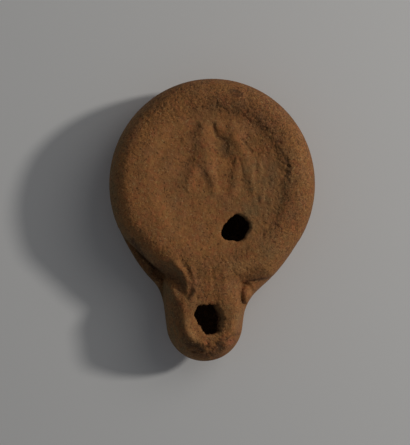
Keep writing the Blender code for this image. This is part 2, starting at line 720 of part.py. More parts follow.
def build_outer_sheets(mesh, holes):
    """Upper and lower outer surfaces. Returns the points around each hole."""
    centre = (0.0, FRONT_Y / 2.0)
    outline = trace(outline_distance, centre, OUTLINE_POINTS)
    border = place_verts(mesh, outline, [SEAM_HEIGHT] * len(outline))

    hole_verts = [place_verts(mesh, hole, top_height(*hole.T)) for hole in holes]
    points = top_points(outline, holes)
    loose = place_verts(mesh, points, top_height(*points.T))
    span_sheet(mesh, border, hole_verts, loose, upward=True)

    angles = np.linspace(0.0, TURN, BASE_POINTS, endpoint=False)
    circle = np.column_stack([np.cos(angles), np.sin(angles)])
    groove_radius = BASE_RADIUS - BASE_GROOVE_INSET
    groove_radii = [groove_radius + share * BASE_GROOVE_WIDTH for share in (-1.0, -0.5, 0.0, 0.5, 1.0)]
    radii = groove_radii + [BASE_RADIUS, BASE_RADIUS + BASE_GROOVE_WIDTH]
    rings = [circle * radius for radius in radii]
    disc = place_verts(mesh, rings[0], bottom_height(*rings[0].T))
    loose = []
    for ring in rings[1:]:
        loose += place_verts(mesh, ring, bottom_height(*ring.T))
    for distance in shoulder_insets(0.55 * SHOULDER_WIDTH, 3):
        ring = inset(outline, distance)
        loose += place_verts(mesh, ring, bottom_height(*ring.T))
    middle = fill_points(ring, [rings[-1]], UNDER_SPACING, 0.5 * UNDER_SPACING)
    loose += place_verts(mesh, middle, bottom_height(*middle.T))
    span_sheet(mesh, border, [disc], loose, upward=False)
    mesh.faces.new(disc[::-1])
    return hole_verts


def build_chamber(mesh, holes, hole_verts):
    """Ceiling and floor of the oil chamber, and the walls of the two holes."""
    cavity = Cavity()
    centre = (0.0, FRONT_Y / 2.0)
    outline = trace(cavity.edge_distance, centre, CAVITY_POINTS)
    heights = (cavity.ceiling_height(*outline.T) + cavity.floor_height(*outline.T)) / 2.0
    border = place_verts(mesh, outline, heights)
    insets = shoulder_insets(0.5 * SHOULDER_WIDTH, 2)

    lower_verts = [place_verts(mesh, hole, cavity.ceiling_height(*hole.T)) for hole in holes]
    for upper, lower in zip(hole_verts, lower_verts):
        bridge(mesh, upper, lower)
    loose = []
    for distance in insets:
        ring = inset(outline, distance)
        loose += place_verts(mesh, ring, cavity.ceiling_height(*ring.T))
    middle = fill_points(ring, holes, CAVITY_SPACING, 0.5 * CAVITY_SPACING)
    loose += place_verts(mesh, middle, cavity.ceiling_height(*middle.T))
    span_sheet(mesh, border, lower_verts, loose, upward=False)

    loose = []
    for distance in insets:
        ring = inset(outline, distance)
        loose += place_verts(mesh, ring, cavity.floor_height(*ring.T))
    middle = fill_points(ring, [], CAVITY_SPACING, 0.5 * CAVITY_SPACING)
    loose += place_verts(mesh, middle, cavity.floor_height(*middle.T))
    span_sheet(mesh, border, [], loose, upward=True)


def clay_material():
    """Matte orange brown fired clay."""
    material = bpy.data.materials.new("fired_clay")
    material.use_nodes = True
    shader = material.node_tree.nodes["Principled BSDF"]
    shader.inputs["Base Color"].default_value = CLAY_COLOUR
    shader.inputs["Roughness"].default_value = CLAY_ROUGHNESS
    shader.inputs["Metallic"].default_value = 0.0
    material.diffuse_color = CLAY_COLOUR
    return material


def build_lamp():
    """The whole lamp as one closed hollow solid."""
    holes = [
        hole_outline(FILL_HOLE_PLACE, FILL_HOLE_SPAN, FILL_HOLE_CORNERS, HOLE_POINTS),
        hole_outline(wick_hole_place(), WICK_HOLE_SPAN, WICK_HOLE_CORNERS, HOLE_POINTS),
    ]
    mesh = bmesh.new()
    hole_verts = build_outer_sheets(mesh, holes)
    build_chamber(mesh, holes, hole_verts)
    data = bpy.data.meshes.new("lamp_body")
    mesh.to_mesh(data)
    mesh.free()
    data.shade_smooth()
    data.set_sharp_from_angle(angle=math.radians(65.0))
    lamp = bpy.data.objects.new("lamp_body", data)
    lamp.data.materials.append(clay_material())
    bpy.context.scene.collection.objects.link(lamp)
    return lamp


def main():
    for thing in list(bpy.data.objects):
        bpy.data.objects.remove(thing, do_unlink=True)
    build_lamp()


main()
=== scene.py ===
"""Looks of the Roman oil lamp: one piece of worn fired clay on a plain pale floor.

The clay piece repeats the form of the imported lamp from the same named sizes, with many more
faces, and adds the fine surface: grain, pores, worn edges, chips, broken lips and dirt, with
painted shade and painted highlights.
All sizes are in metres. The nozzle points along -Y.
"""

import math

import bpy
import numpy as np
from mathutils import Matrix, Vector, kdtree, noise
from mathutils.geometry import delaunay_2d_cdt


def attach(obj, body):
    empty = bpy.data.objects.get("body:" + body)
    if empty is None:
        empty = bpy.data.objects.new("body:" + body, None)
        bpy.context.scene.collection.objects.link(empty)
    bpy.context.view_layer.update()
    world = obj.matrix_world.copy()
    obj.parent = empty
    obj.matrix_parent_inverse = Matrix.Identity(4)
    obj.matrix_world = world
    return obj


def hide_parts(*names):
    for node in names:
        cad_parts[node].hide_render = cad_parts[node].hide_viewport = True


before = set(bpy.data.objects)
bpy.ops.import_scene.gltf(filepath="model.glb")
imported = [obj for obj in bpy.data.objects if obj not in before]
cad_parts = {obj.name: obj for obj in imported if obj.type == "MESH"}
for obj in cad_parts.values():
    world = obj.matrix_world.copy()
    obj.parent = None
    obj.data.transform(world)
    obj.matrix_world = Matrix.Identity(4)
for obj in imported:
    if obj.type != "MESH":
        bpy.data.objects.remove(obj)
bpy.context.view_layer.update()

# Body in plan, and the heights of its rim and of the seam between the mould halves
BODY_HALF_WIDTH = 0.0364
BODY_HALF_LENGTH = 0.0373
RIM_HEIGHT = 0.0256
SEAM_HEIGHT = 0.0118
SHOULDER_WIDTH = 0.0088
SHOULDER_FULLNESS = 2.4

# Wear: the shoulder is wider and the discus shallower towards the front left
WEAR_ANGLE = 217.0
WORN_SHOULDER_WIDTH = 0.0108
WORN_DISCUS_DEPTH = 0.0021

# Clay left around the oil chamber
WALL_THICKNESS = 0.0032

# Base disc with its turned groove, and the bowl that rises from it to the seam
BASE_RADIUS = 0.0185
BASE_GROOVE_INSET = 0.0036
BASE_GROOVE_WIDTH = 0.0016
BASE_GROOVE_DEPTH = 0.0006
BOWL_ROUNDNESS = 0.55
BOWL_FLATNESS = 1.3

# Discus inside the rim, with the ring that frames it
DISCUS_DEPTH = 0.0032
RIM_ROLL_WIDTH = 0.0044
WORN_ROLL_WIDTH = 0.0120
RING_INSET = 0.0024
RING_WIDTH = 0.0013
RING_DEPTH = 0.0003

# Nozzle, measured from the front of the body to the tip
NOZZLE_REACH = 0.0254
NOZZLE_HEIGHT = 0.0240
NOZZLE_TIP_RADIUS = 0.0135
NOZZLE_ROOT_RADIUS = 0.0147
NOZZLE_TAPER_LENGTH = 0.0095
NOZZLE_SHIFT = -0.0027

# Rounded edges of the nozzle, and the slope of its top on the right near the body
NOZZLE_LEFT_WIDTH = 0.0074
NOZZLE_RIGHT_WIDTH = 0.0036
NOZZLE_TIP_WIDTH = 0.0086
NOZZLE_FULLNESS = 1.5
NOZZLE_SIDE_FALL = 0.0017
NOZZLE_SIDE_START = 0.0036
NOZZLE_SIDE_END = 0.0100

# Ledge and groove at the seam, where the upper half steps back beside the neck on the left
LEDGE_RISE = 0.0009
LEDGE_WIDTH = 0.0040
LEDGE_ANGLE = 228.0
LEDGE_SPREAD = 24.0
BODY_STEP = 0.0017
SEAM_GROOVE_DEPTH = 0.0004
SEAM_GROOVE_WIDTH = 0.0008

# Soft joints between the forms, and how far the upper half's edge stays inside the outline
NOZZLE_BLEND = 0.0015
LEDGE_BLEND = 0.0008
KNOB_BLEND = 0.0006
EDGE_INSET = 0.0003

# Neck between body and nozzle, wide below the seam and on the right above it.
# Places on the neck are measured from the front of the body
NECK_INSET = 0.0077
NECK_BACK_OFFSET = 0.0140
NECK_FRONT_RADIUS = 0.0124
NECK_FILLET = 0.0035
NECK_LOBE_RADIUS = 0.0094
NECK_LOBE_PLACE = (0.0168, 0.0132)
NECK_RISE = 0.0070

# Channel that joins the discus to the wick hole
CHANNEL_CENTRE = -0.0018
CHANNEL_HALF_WIDTH = 0.0058
CHANNEL_DEPTH = 0.0005

# Worn volutes beside the channel: a ridge on the left and a round knob on the right
VOLUTE_RIDGE = ((-0.0130, 0.0103), (-0.0102, 0.0067), (-0.0090, 0.0023), (-0.0092, 0.0001))
VOLUTE_GROOVE = ((-0.0112, 0.0111), (-0.0084, 0.0071), (-0.0072, 0.0028), (-0.0074, -0.0012))
VOLUTE_WIDTH = 0.0020
VOLUTE_RELIEF = 0.0007
NECK_HOLLOW = ((-0.0180, 0.0070), (-0.0145, 0.0052), (-0.0118, 0.0034), (-0.0098, -0.0002))
NECK_HOLLOW_WIDTH = 0.0040
NECK_HOLLOW_DEPTH = 0.0030
KNOB_PLACE = (0.0116, -0.0014)
KNOB_HALF_WIDTH = 0.0026
KNOB_HALF_LENGTH = 0.0036
KNOB_HEIGHT = 0.0212
KNOB_GROOVE_WIDTH = 0.0009
KNOB_GROOVE_DEPTH = 0.0006

# Filling hole and wick hole: place, span, and corners as shares of the span
FILL_HOLE_PLACE = (0.0084, -0.0153)
FILL_HOLE_SPAN = 0.0110
FILL_HOLE_CORNERS = ((0.05, 0.50), (0.50, 0.06), (0.22, -0.36), (0.08, -0.44), (-0.40, -0.38),
                     (-0.51, -0.16), (-0.32, 0.20))
WICK_HOLE_SETBACK = 0.0150
WICK_HOLE_OFFSET = -0.0010
WICK_HOLE_SPAN = 0.0112
WICK_HOLE_CORNERS = ((-0.34, 0.50), (0.13, 0.52), (0.42, 0.29), (0.48, 0.03), (0.34, -0.38),
                     (-0.11, -0.44), (-0.30, -0.18), (-0.51, 0.20))
WICK_DISH_DEPTH = 0.0004
WICK_DISH_WIDTH = 0.0032

# Two worn figures in low relief. Angles are in degrees from straight down, to the right
RELIEF_HEIGHT = 0.0013
FIGURES = (
    {"hip": (-0.0026, 0.0086), "lean": 5.0, "legs": (-40.0, 20.0), "arms": (-72.0, 30.0)},
    {"hip": (0.0102, 0.0084), "lean": 18.0, "legs": (-18.0, 27.0), "arms": (-122.0, 50.0)},
)

# Length and half width of each part of a figure, and the worn fold of cloth beside the second
TORSO_SIZE = (0.0083, 0.0038)
HEAD_SIZE = (0.0030, 0.0022)
THIGH_SIZE = (0.0060, 0.0026)
SHIN_SIZE = (0.0058, 0.0020)
ARM_SIZE = (0.0066, 0.0016)
CLOTH_FOLD = ((0.0162, 0.0066), (0.0174, 0.0010), (0.0170, -0.0058))
CLOTH_HALF_WIDTH = 0.0013

# Fineness of the faces
OUTLINE_POINTS = 600
HOLE_POINTS = 96
HOLE_ROWS = 6
CAVITY_POINTS = 240
BASE_POINTS = 180
SHOULDER_STEPS = 26
TOP_SPACING = 0.00036
UNDER_SPACING = 0.0009
CAVITY_SPACING = 0.0012
GRID_STEP = 0.0004

# Camera straight above, for a picture of 410 by 445
PICTURE_COLUMNS = 410
PICTURE_ROWS = 445
FRAME_HEIGHT_AT_SEAM = 0.1581
CAMERA_HEIGHT = 0.45
CAMERA_PLACE = (-0.0025, -0.0135)
SENSOR_HEIGHT = 24.0

FRONT_Y = -BODY_HALF_LENGTH
TIP_Y = FRONT_Y - NOZZLE_REACH
LAMP_CENTRE = (0.0, FRONT_Y / 2.0)
TURN = 2.0 * math.pi
MM = 0.001


def smooth_min(first, second, reach):
    """Smaller of two fields, with a soft joint as wide as reach."""
    share = np.clip(1.0 - np.abs(first - second) / reach, 0.0, 1.0)
    return np.minimum(first, second) - share * share * reach / 4.0


def smooth_max(first, second, reach):
    """Larger of two fields, with a soft joint as wide as reach."""
    return -smooth_min(-first, -second, reach)


def smooth_step(value, low, high):
    """Rise from 0 at low to 1 at high without a corner."""
    share = np.clip((value - low) / (high - low), 0.0, 1.0)
    return share * share * (3.0 - 2.0 * share)


def bump(distance, width):
    """One at no distance, falling softly to nothing at the width."""
    share = np.clip(1.0 - (distance / width) ** 2, 0.0, 1.0)
    return share * share


def dome(depth, width, fullness):
    """Share of the full height at a depth inside an edge, for a round shoulder."""
    run = np.clip(1.0 - depth / width, 0.0, 1.0)
    return (1.0 - run ** fullness) ** (1.0 / fullness)


def ellipse_distance(x, y, half_width, half_length):
    """Distance outside an ellipse about the origin, for one that is nearly round."""
    share = np.hypot(x / half_width, y / half_length)
    return (share - 1.0) * math.sqrt(half_width * half_length)


def body_distance(x, y):
    """Distance outside the nearly round body in plan."""
    return ellipse_distance(x, y, BODY_HALF_WIDTH, BODY_HALF_LENGTH)


def hull_distance(x, y, back, back_radius, front, front_radius):
    """Distance outside the hull of two circles."""
    along_x = front[0] - back[0]
    along_y = front[1] - back[1]
    length = math.hypot(along_x, along_y)
    slope = (back_radius - front_radius) / length
    level = math.sqrt(1.0 - slope * slope)
    forward = ((x - back[0]) * along_x + (y - back[1]) * along_y) / length
    aside = np.abs((x - back[0]) * along_y - (y - back[1]) * along_x) / length
    place = level * forward - slope * aside
    side = level * aside + slope * forward - back_radius
    near_back = np.hypot(aside, forward) - back_radius
    near_front = np.hypot(aside, forward - length) - front_radius
    return np.where(place < 0.0, near_back, np.where(place > level * length, near_front, side))


def stroke_distance(x, y, start, end):
    """Distance from a straight stroke."""
    run_x = end[0] - start[0]
    run_y = end[1] - start[1]
    share = ((x - start[0]) * run_x + (y - start[1]) * run_y) / (run_x ** 2 + run_y ** 2)
    share = np.clip(share, 0.0, 1.0)
    return np.hypot(x - start[0] - share * run_x, y - start[1] - share * run_y)


def path_distance(x, y, points):
    """Distance from a path of straight strokes."""
    strokes = [stroke_distance(x, y, start, end) for start, end in zip(points, points[1:])]
    return np.minimum.reduce(strokes)


def nozzle_distance(x, y):
    """Distance outside the nozzle in plan: tapered sides and a round tip."""
    middle = (NOZZLE_SHIFT, 0.0)
    front = (NOZZLE_SHIFT, TIP_Y + NOZZLE_TIP_RADIUS)
    back = (NOZZLE_SHIFT, front[1] + NOZZLE_TAPER_LENGTH)
    tapered = hull_distance(x, y, back, NOZZLE_ROOT_RADIUS, front, NOZZLE_TIP_RADIUS)
    root = hull_distance(x, y, middle, NOZZLE_ROOT_RADIUS, back, NOZZLE_ROOT_RADIUS)
    return np.minimum(tapered, root)


def outline_distance(x, y):
    """Distance outside the whole lamp in plan, as its lower half draws it."""
    body = body_distance(x, y)
    back = (NOZZLE_SHIFT / 4.0, -NECK_BACK_OFFSET)
    front = (NOZZLE_SHIFT / 2.0, FRONT_Y)
    neck = hull_distance(x, y, back, BODY_HALF_WIDTH - NECK_INSET, front, NECK_FRONT_RADIUS)
    return smooth_min(smooth_min(body, neck, NECK_FILLET), nozzle_distance(x, y), NECK_FILLET)


def upper_body_distance(x, y):
    """Distance outside the upper body in plan: the round body and the lobe on its right."""
    turned = np.degrees(np.arctan2(-y, -x)) + 180.0 - LEDGE_ANGLE
    step = BODY_STEP * bump(turned, LEDGE_SPREAD)
    body = body_distance(x, y) + step
    lobe_y = FRONT_Y + NECK_LOBE_PLACE[1]
    lobe = np.hypot(x - NECK_LOBE_PLACE[0], y - lobe_y) - NECK_LOBE_RADIUS
    return smooth_min(body, lobe, NECK_FILLET)


def upper_distance(x, y):
    """Distance outside the upper half of the lamp in plan."""
    return np.minimum(upper_body_distance(x, y), nozzle_distance(x, y))


def upper_inset_distance(x, y, distance):
    """Distance outside the upper half after an inset, kept inside the lower half's outline."""
    return np.maximum(upper_distance(x, y) + distance, outline_distance(x, y) + EDGE_INSET)


def wick_hole_place():
    """Middle of the wick hole in plan."""
    return (WICK_HOLE_OFFSET, TIP_Y + WICK_HOLE_SETBACK)


def nozzle_edge_width(x, y):
    """Width of the nozzle's rounded edge: narrow on the right, wide on the left and at the tip."""
    right = smooth_step(x - NOZZLE_SHIFT, -0.3 * NOZZLE_TIP_RADIUS, 0.9 * NOZZLE_TIP_RADIUS)
    side = NOZZLE_LEFT_WIDTH + (NOZZLE_RIGHT_WIDTH - NOZZLE_LEFT_WIDTH) * right
    before_middle = TIP_Y + NOZZLE_TIP_RADIUS - y
    front = smooth_step(before_middle, -0.2 * NOZZLE_TIP_RADIUS, 0.9 * NOZZLE_TIP_RADIUS)
    return side + (NOZZLE_TIP_WIDTH - side) * front * (1.0 - 0.5 * right)


def nozzle_side_fall(x, y):
    """How far the nozzle's top slopes down to the right where it joins the body."""
    right = smooth_step(x, NOZZLE_SIDE_START, NOZZLE_SIDE_END)
    behind = smooth_step(y, TIP_Y + NOZZLE_TIP_RADIUS, TIP_Y + 2.0 * NOZZLE_TIP_RADIUS)
    return NOZZLE_SIDE_FALL * right * behind


def ledge_rise(x, y):
    """Rise of the lower half past the seam: a low ledge, but a filled neck on the right."""
    right = smooth_step(x, 0.0, KNOB_PLACE[0])
    knob_y = FRONT_Y + KNOB_PLACE[1]
    behind = smooth_step(y, knob_y - 2.0 * KNOB_HALF_LENGTH, knob_y)
    return LEDGE_RISE + (NECK_RISE - LEDGE_RISE) * right * behind


def channel_share(x, y):
    """Share of the channel's depth at a place: full in its middle, none past its sides."""
    across = 1.0 - smooth_step(np.abs(x - CHANNEL_CENTRE), 0.5 * CHANNEL_HALF_WIDTH, CHANNEL_HALF_WIDTH)
    along = 1.0 - smooth_step(y, FRONT_Y + 0.4 * SHOULDER_WIDTH, FRONT_Y + 2.6 * SHOULDER_WIDTH)
    return across * along


def worn_share(x, y):
    """One on the worn side of the body, and none where its rim is crisp."""
    radius = min(BODY_HALF_WIDTH, BODY_HALF_LENGTH)
    angle = math.radians(WEAR_ANGLE)
    toward = (math.cos(angle) * x + math.sin(angle) * y) / radius
    return smooth_step(toward, -0.3, 0.8)


def mixed(x, y, crisp, worn):
    """A size that changes from its crisp value to its worn value over the body."""
    return crisp + (worn - crisp) * worn_share(x, y)


def discus_fall(x, y):
    """How far the top lies below the rim inside its crest: a rolled edge and a wide bowl."""
    depth = -body_distance(x, y)
    width = mixed(x, y, SHOULDER_WIDTH, WORN_SHOULDER_WIDTH)
    inside = np.maximum(depth - width, 0.0)
    radius = min(BODY_HALF_WIDTH, BODY_HALF_LENGTH) - width
    roll = smooth_step(inside, 0.0, mixed(x, y, RIM_ROLL_WIDTH, WORN_ROLL_WIDTH))
    bowl = 1.0 - np.clip(1.0 - inside / radius, 0.0, 1.0) ** 2
    bowl = bowl * mixed(x, y, 1.0, roll)
    fall = mixed(x, y, DISCUS_DEPTH, WORN_DISCUS_DEPTH) * (0.25 * roll + 0.75 * bowl)
    ring = bump(depth - SHOULDER_WIDTH - RING_INSET, RING_WIDTH) * mixed(x, y, RING_DEPTH, 0.0)
    return fall + ring


def front_fall(x, y):
    """How far the rim's crest drops where the discus runs on into the nozzle."""
    back = FRONT_Y + 2.5 * SHOULDER_WIDTH
    front = 1.0 - smooth_step(y, FRONT_Y, back)
    middle = 1.0 - smooth_step(np.abs(x - CHANNEL_CENTRE), CHANNEL_HALF_WIDTH, 3.6 * CHANNEL_HALF_WIDTH)
    return (RIM_HEIGHT - NOZZLE_HEIGHT) * front * middle


def figure_strokes(figure):
    """Strokes of one figure, each as start, end and half width."""
    hip_x, hip_y = figure["hip"]

    def reach(start, degrees, length):
        angle = math.radians(degrees)
        return (start[0] + length * math.sin(angle), start[1] - length * math.cos(angle))

    hip = (hip_x, hip_y)
    neck = reach(hip, 180.0 + figure["lean"], TORSO_SIZE[0])
    head = reach(neck, 180.0 + figure["lean"], HEAD_SIZE[0])
    strokes = [(neck, head, HEAD_SIZE[1]), (hip, neck, TORSO_SIZE[1])]
    for angle in figure["legs"]:
        knee = reach(hip, angle, THIGH_SIZE[0])
        foot = reach(knee, 0.55 * angle, SHIN_SIZE[0])
        strokes.append((hip, knee, THIGH_SIZE[1]))
        strokes.append((knee, foot, SHIN_SIZE[1]))
    for angle in figure["arms"]:
        hand = reach(neck, angle, ARM_SIZE[0])
        strokes.append((neck, hand, ARM_SIZE[1]))
    return strokes


def figure_relief(x, y):
    """Height of the worn figures above the discus."""
    share = math.sqrt(CLOTH_HALF_WIDTH / TORSO_SIZE[1])
    relief = share * bump(path_distance(x, y, CLOTH_FOLD), 1.6 * CLOTH_HALF_WIDTH)
    for figure in FIGURES:
        for start, end, half_width in figure_strokes(figure):
            share = math.sqrt(half_width / TORSO_SIZE[1])
            form = share * bump(stroke_distance(x, y, start, end), 1.6 * half_width)
            relief = smooth_max(relief, form, 0.35)
    return RELIEF_HEIGHT * relief


def neck_path(points):
    """Path on the neck, moved from the front of the body to the lamp's own frame."""
    return [(x, FRONT_Y + y) for x, y in points]


def knob_distance(x, y):
    """Distance outside the round knob in plan."""
    knob_y = FRONT_Y + KNOB_PLACE[1]
    return ellipse_distance(x - KNOB_PLACE[0], y - knob_y, KNOB_HALF_WIDTH, KNOB_HALF_LENGTH)


def neck_hollow(x, y):
    """Depth of the hollow on the left, where the shoulder meets the neck."""
    return NECK_HOLLOW_DEPTH * bump(path_distance(x, y, neck_path(NECK_HOLLOW)), NECK_HOLLOW_WIDTH)


def volute_relief(x, y):
    """Ridge and grooves of the worn volutes, up and down from the surface."""
    ridge = bump(path_distance(x, y, neck_path(VOLUTE_RIDGE)), VOLUTE_WIDTH)
    groove = bump(path_distance(x, y, neck_path(VOLUTE_GROOVE)), 0.8 * VOLUTE_WIDTH)
    ring = bump(knob_distance(x, y), KNOB_GROOVE_WIDTH)
    knob_y = FRONT_Y + KNOB_PLACE[1]
    left_of_knob = 1.0 - smooth_step(x, KNOB_PLACE[0], KNOB_PLACE[0] + KNOB_HALF_WIDTH)
    above_knob = smooth_step(y, knob_y, knob_y + KNOB_HALF_LENGTH)
    knob_groove = KNOB_GROOVE_DEPTH * ring * np.maximum(left_of_knob, above_knob)
    return VOLUTE_RELIEF * (ridge - 0.8 * groove) - knob_groove


def knob_top(x, y):
    """Height of the round knob's own top."""
    inside = -knob_distance(x, y)
    radius = math.sqrt(KNOB_HALF_WIDTH * KNOB_HALF_LENGTH)
    knob = SEAM_HEIGHT + (KNOB_HEIGHT - SEAM_HEIGHT) * dome(inside, radius, SHOULDER_FULLNESS)
    return np.where(inside > 0.0, knob, SEAM_HEIGHT)


def seam_groove(x, y, depth, inner_depth):
    """Share of the groove at the foot of the upper half, where the ledge is wide enough."""
    open_ledge = smooth_step(depth, 0.3 * LEDGE_WIDTH, 0.6 * LEDGE_WIDTH)
    outside = inner_depth < SEAM_GROOVE_WIDTH
    left = 1.0 - smooth_step(x, NOZZLE_SHIFT, KNOB_PLACE[0])
    return bump(np.abs(inner_depth), SEAM_GROOVE_WIDTH) * open_ledge * outside * left


def top_height(x, y, carved=True):
    """Height of the upper surface at a place inside the outline."""
    depth = np.maximum(-outline_distance(x, y), 0.0)
    rise = RIM_HEIGHT - SEAM_HEIGHT
    body_depth = -upper_body_distance(x, y)
    width = mixed(x, y, SHOULDER_WIDTH, WORN_SHOULDER_WIDTH)
    body = SEAM_HEIGHT + rise * dome(np.maximum(body_depth, 0.0), width, SHOULDER_FULLNESS)
    body = body - (discus_fall(x, y) + front_fall(x, y)) * np.clip(body_depth / width, 0.0, 1.0)
    nozzle_depth = np.maximum(-nozzle_distance(x, y), 0.0)
    edge_width = nozzle_edge_width(x, y)
    share = dome(nozzle_depth, edge_width, NOZZLE_FULLNESS)
    nozzle = SEAM_HEIGHT + (NOZZLE_HEIGHT - SEAM_HEIGHT - nozzle_side_fall(x, y)) * share
    back = smooth_step(y, FRONT_Y + 0.6 * SHOULDER_WIDTH, FRONT_Y + 1.6 * SHOULDER_WIDTH)
    nozzle = nozzle - DISCUS_DEPTH * back
    ledge = SEAM_HEIGHT + ledge_rise(x, y) * dome(depth, LEDGE_WIDTH, NOZZLE_FULLNESS)
    height = smooth_max(body, nozzle, NOZZLE_BLEND)
    if carved:
        height = smooth_max(height, knob_top(x, y), KNOB_BLEND)
    height = smooth_max(height, ledge, LEDGE_BLEND)
    height = height - CHANNEL_DEPTH * channel_share(x, y) - neck_hollow(x, y)
    wick_x, wick_y = wick_hole_place()
    from_hole = np.hypot(x - wick_x, y - wick_y) - WICK_HOLE_SPAN / 2.0
    height = height - WICK_DISH_DEPTH * bump(np.maximum(from_hole, 0.0), WICK_DISH_WIDTH)
    if carved:
        inner_depth = np.maximum(body_depth, -nozzle_distance(x, y))
        height = height - SEAM_GROOVE_DEPTH * seam_groove(x, y, depth, inner_depth)
        height = height + figure_relief(x, y) + volute_relief(x, y)
    edge = SEAM_HEIGHT + rise * dome(depth, SHOULDER_WIDTH, SHOULDER_FULLNESS)
    return np.clip(height, SEAM_HEIGHT, np.maximum(edge, SEAM_HEIGHT))


def bottom_height(x, y):
    """Height of the lower surface: flat base, turned groove and rising bowl."""
    depth = np.maximum(-outline_distance(x, y), 0.0)
    radius = np.hypot(x, y)
    beyond = np.maximum(radius - BASE_RADIUS, 0.0)
    share = beyond / np.maximum(beyond + depth, 1e-9)
    bowl = SEAM_HEIGHT * (1.0 - (1.0 - share ** BOWL_FLATNESS) ** BOWL_ROUNDNESS)
    groove = bump(radius - (BASE_RADIUS - BASE_GROOVE_INSET), BASE_GROOVE_WIDTH)
    return bowl + BASE_GROOVE_DEPTH * groove


def resample(points, count):
    """Points at even steps along a closed path."""
    closed = np.vstack([points, points[:1]])
    steps = np.hypot(*np.diff(closed, axis=0).T)
    travel = np.concatenate([[0.0], np.cumsum(steps)])
    places = np.linspace(0.0, travel[-1], count, endpoint=False)
    return np.column_stack([np.interp(places, travel, closed[:, axis]) for axis in range(2)])


def trace(distance, centre, count):
    """Closed outline where a distance field is zero, seen from a centre inside it."""
    angles = np.linspace(0.0, TURN, 4 * count, endpoint=False)
    inner = np.zeros_like(angles)
    outer = np.full_like(angles, BODY_HALF_LENGTH + BODY_HALF_WIDTH + NOZZLE_REACH)
    for _ in range(26):
        middle = (inner + outer) / 2.0
        value = distance(centre[0] + middle * np.cos(angles), centre[1] + middle * np.sin(angles))
        inner = np.where(value < 0.0, middle, inner)
        outer = np.where(value < 0.0, outer, middle)
    path = np.column_stack([centre[0] + inner * np.cos(angles), centre[1] + inner * np.sin(angles)])
    return resample(path, count)


def inset(points, distance):
    """Closed outline moved inward along its own normals."""
    along = np.roll(points, -1, axis=0) - np.roll(points, 1, axis=0)
    normal = np.column_stack([-along[:, 1], along[:, 0]])
    normal = normal / np.linalg.norm(normal, axis=1)[:, None]
    return points + normal * distance


def hole_outline(place, span, corners, count):
    """Rounded outline through a hole's corners, running the way the outline does."""
    points = np.array(corners)[::-1] * span
    for _ in range(3):
        after = np.roll(points, -1, axis=0)
        points = np.stack([0.82 * points + 0.18 * after, 0.18 * points + 0.82 * after], axis=1)
        points = points.reshape(-1, 2)
    return resample(points, count) + np.array(place)


def inside_polygon(points, polygon):
    """Whether each point lies inside a closed polygon."""
    inside = np.zeros(len(points), dtype=bool)
    for (x0, y0), (x1, y1) in zip(polygon, np.roll(polygon, -1, axis=0)):
        if y0 == y1:
            continue
        crosses = (points[:, 1] < y0) != (points[:, 1] < y1)
        at = x0 + (points[:, 1] - y0) * (x1 - x0) / (y1 - y0)
        inside ^= crosses & (points[:, 0] < at)
    return inside


def between(points, border, loops):
    """Whether each point lies inside a border and outside its loops."""
    inside = inside_polygon(points, border)
    for loop in loops:
        inside &= ~inside_polygon(points, loop)
    return inside


def nearest(points, others):
    """Distance from each point to the nearest of the others."""
    tree = kdtree.KDTree(len(others))
    for index, (x, y) in enumerate(others):
        tree.insert((x, y, 0.0), index)
    tree.balance()
    return np.array([tree.find((x, y, 0.0))[2] for x, y in points])


def apart(points, others, gap):
    """The points that keep a gap to all the others."""
    if not len(others) or not len(points):
        return points
    return points[nearest(points, others) > gap]


def shoulder_insets(width, steps):
    """Insets that close up towards a round edge."""
    return [width * (1.0 - math.cos(math.pi / 2.0 * step / steps)) for step in range(1, steps + 1)]


def even_points(border, spacing):
    """Even points over the box around a border, in rows."""
    low = border.min(axis=0)
    high = border.max(axis=0)
    rows = np.arange(low[1], high[1], spacing * math.sqrt(3.0) / 2.0)
    points = []
    for index, row in enumerate(rows):
        columns = np.arange(low[0] + (index % 2) * spacing / 2.0, high[0], spacing)
        points.append(np.column_stack([columns, np.full_like(columns, row)]))
    return np.vstack(points)


def fill_points(border, loops, others, spacing):
    """Even points inside a border and outside its loops, clear of them and of the others."""
    points = even_points(border, spacing)
    points = points[between(points, border, loops)]
    return apart(points, np.vstack([border, others] + loops), 0.72 * spacing)


def rough_noise(points, size, seed, octaves=3):
    """Seeded noise of a feature size at each point, about -1 to 1."""
    shift = Vector((seed, 2.0 * seed, 3.0 * seed))
    return np.array([noise.fractal(Vector(point) / size + shift, 1.0, 2.0, octaves) for point in points])


def photo_place(column, row):
    """Place in plan of a spot on the lamp's top, from its column and row in the picture."""
    step = FRAME_HEIGHT_AT_SEAM / PICTURE_ROWS
    step = step * (CAMERA_HEIGHT - NOZZLE_HEIGHT) / (CAMERA_HEIGHT - SEAM_HEIGHT)
    x = CAMERA_PLACE[0] + (column - PICTURE_COLUMNS / 2.0) * step
    y = CAMERA_PLACE[1] + (PICTURE_ROWS / 2.0 - row) * step
    return (x, y)


# Wear of the ring: how wide it is rubbed soft and how far the rubbing reaches.
# Its broken marks: width, sway, and depth in millimetres
RUB_WIDTH = 4.0 * MM
RUB_REACH = 1.5 * MM
RUB_SHARE = 0.9
NICK_WIDTH = 1.1 * MM
NICK_SWAY = 1.8 * MM
NICK_DEPTH = 0.24

# Break across the nozzle's tip: its distance from the tip, its slope and its soft uneven edge,
# then its depth and roughness in millimetres
BREAK_SETBACK = 8.2 * MM
BREAK_SLOPE = 0.10
BREAK_SWAY = 1.4 * MM
BREAK_EDGE = 1.6 * MM
BREAK_DEPTH = 0.45
BREAK_ROUGHNESS = 0.75

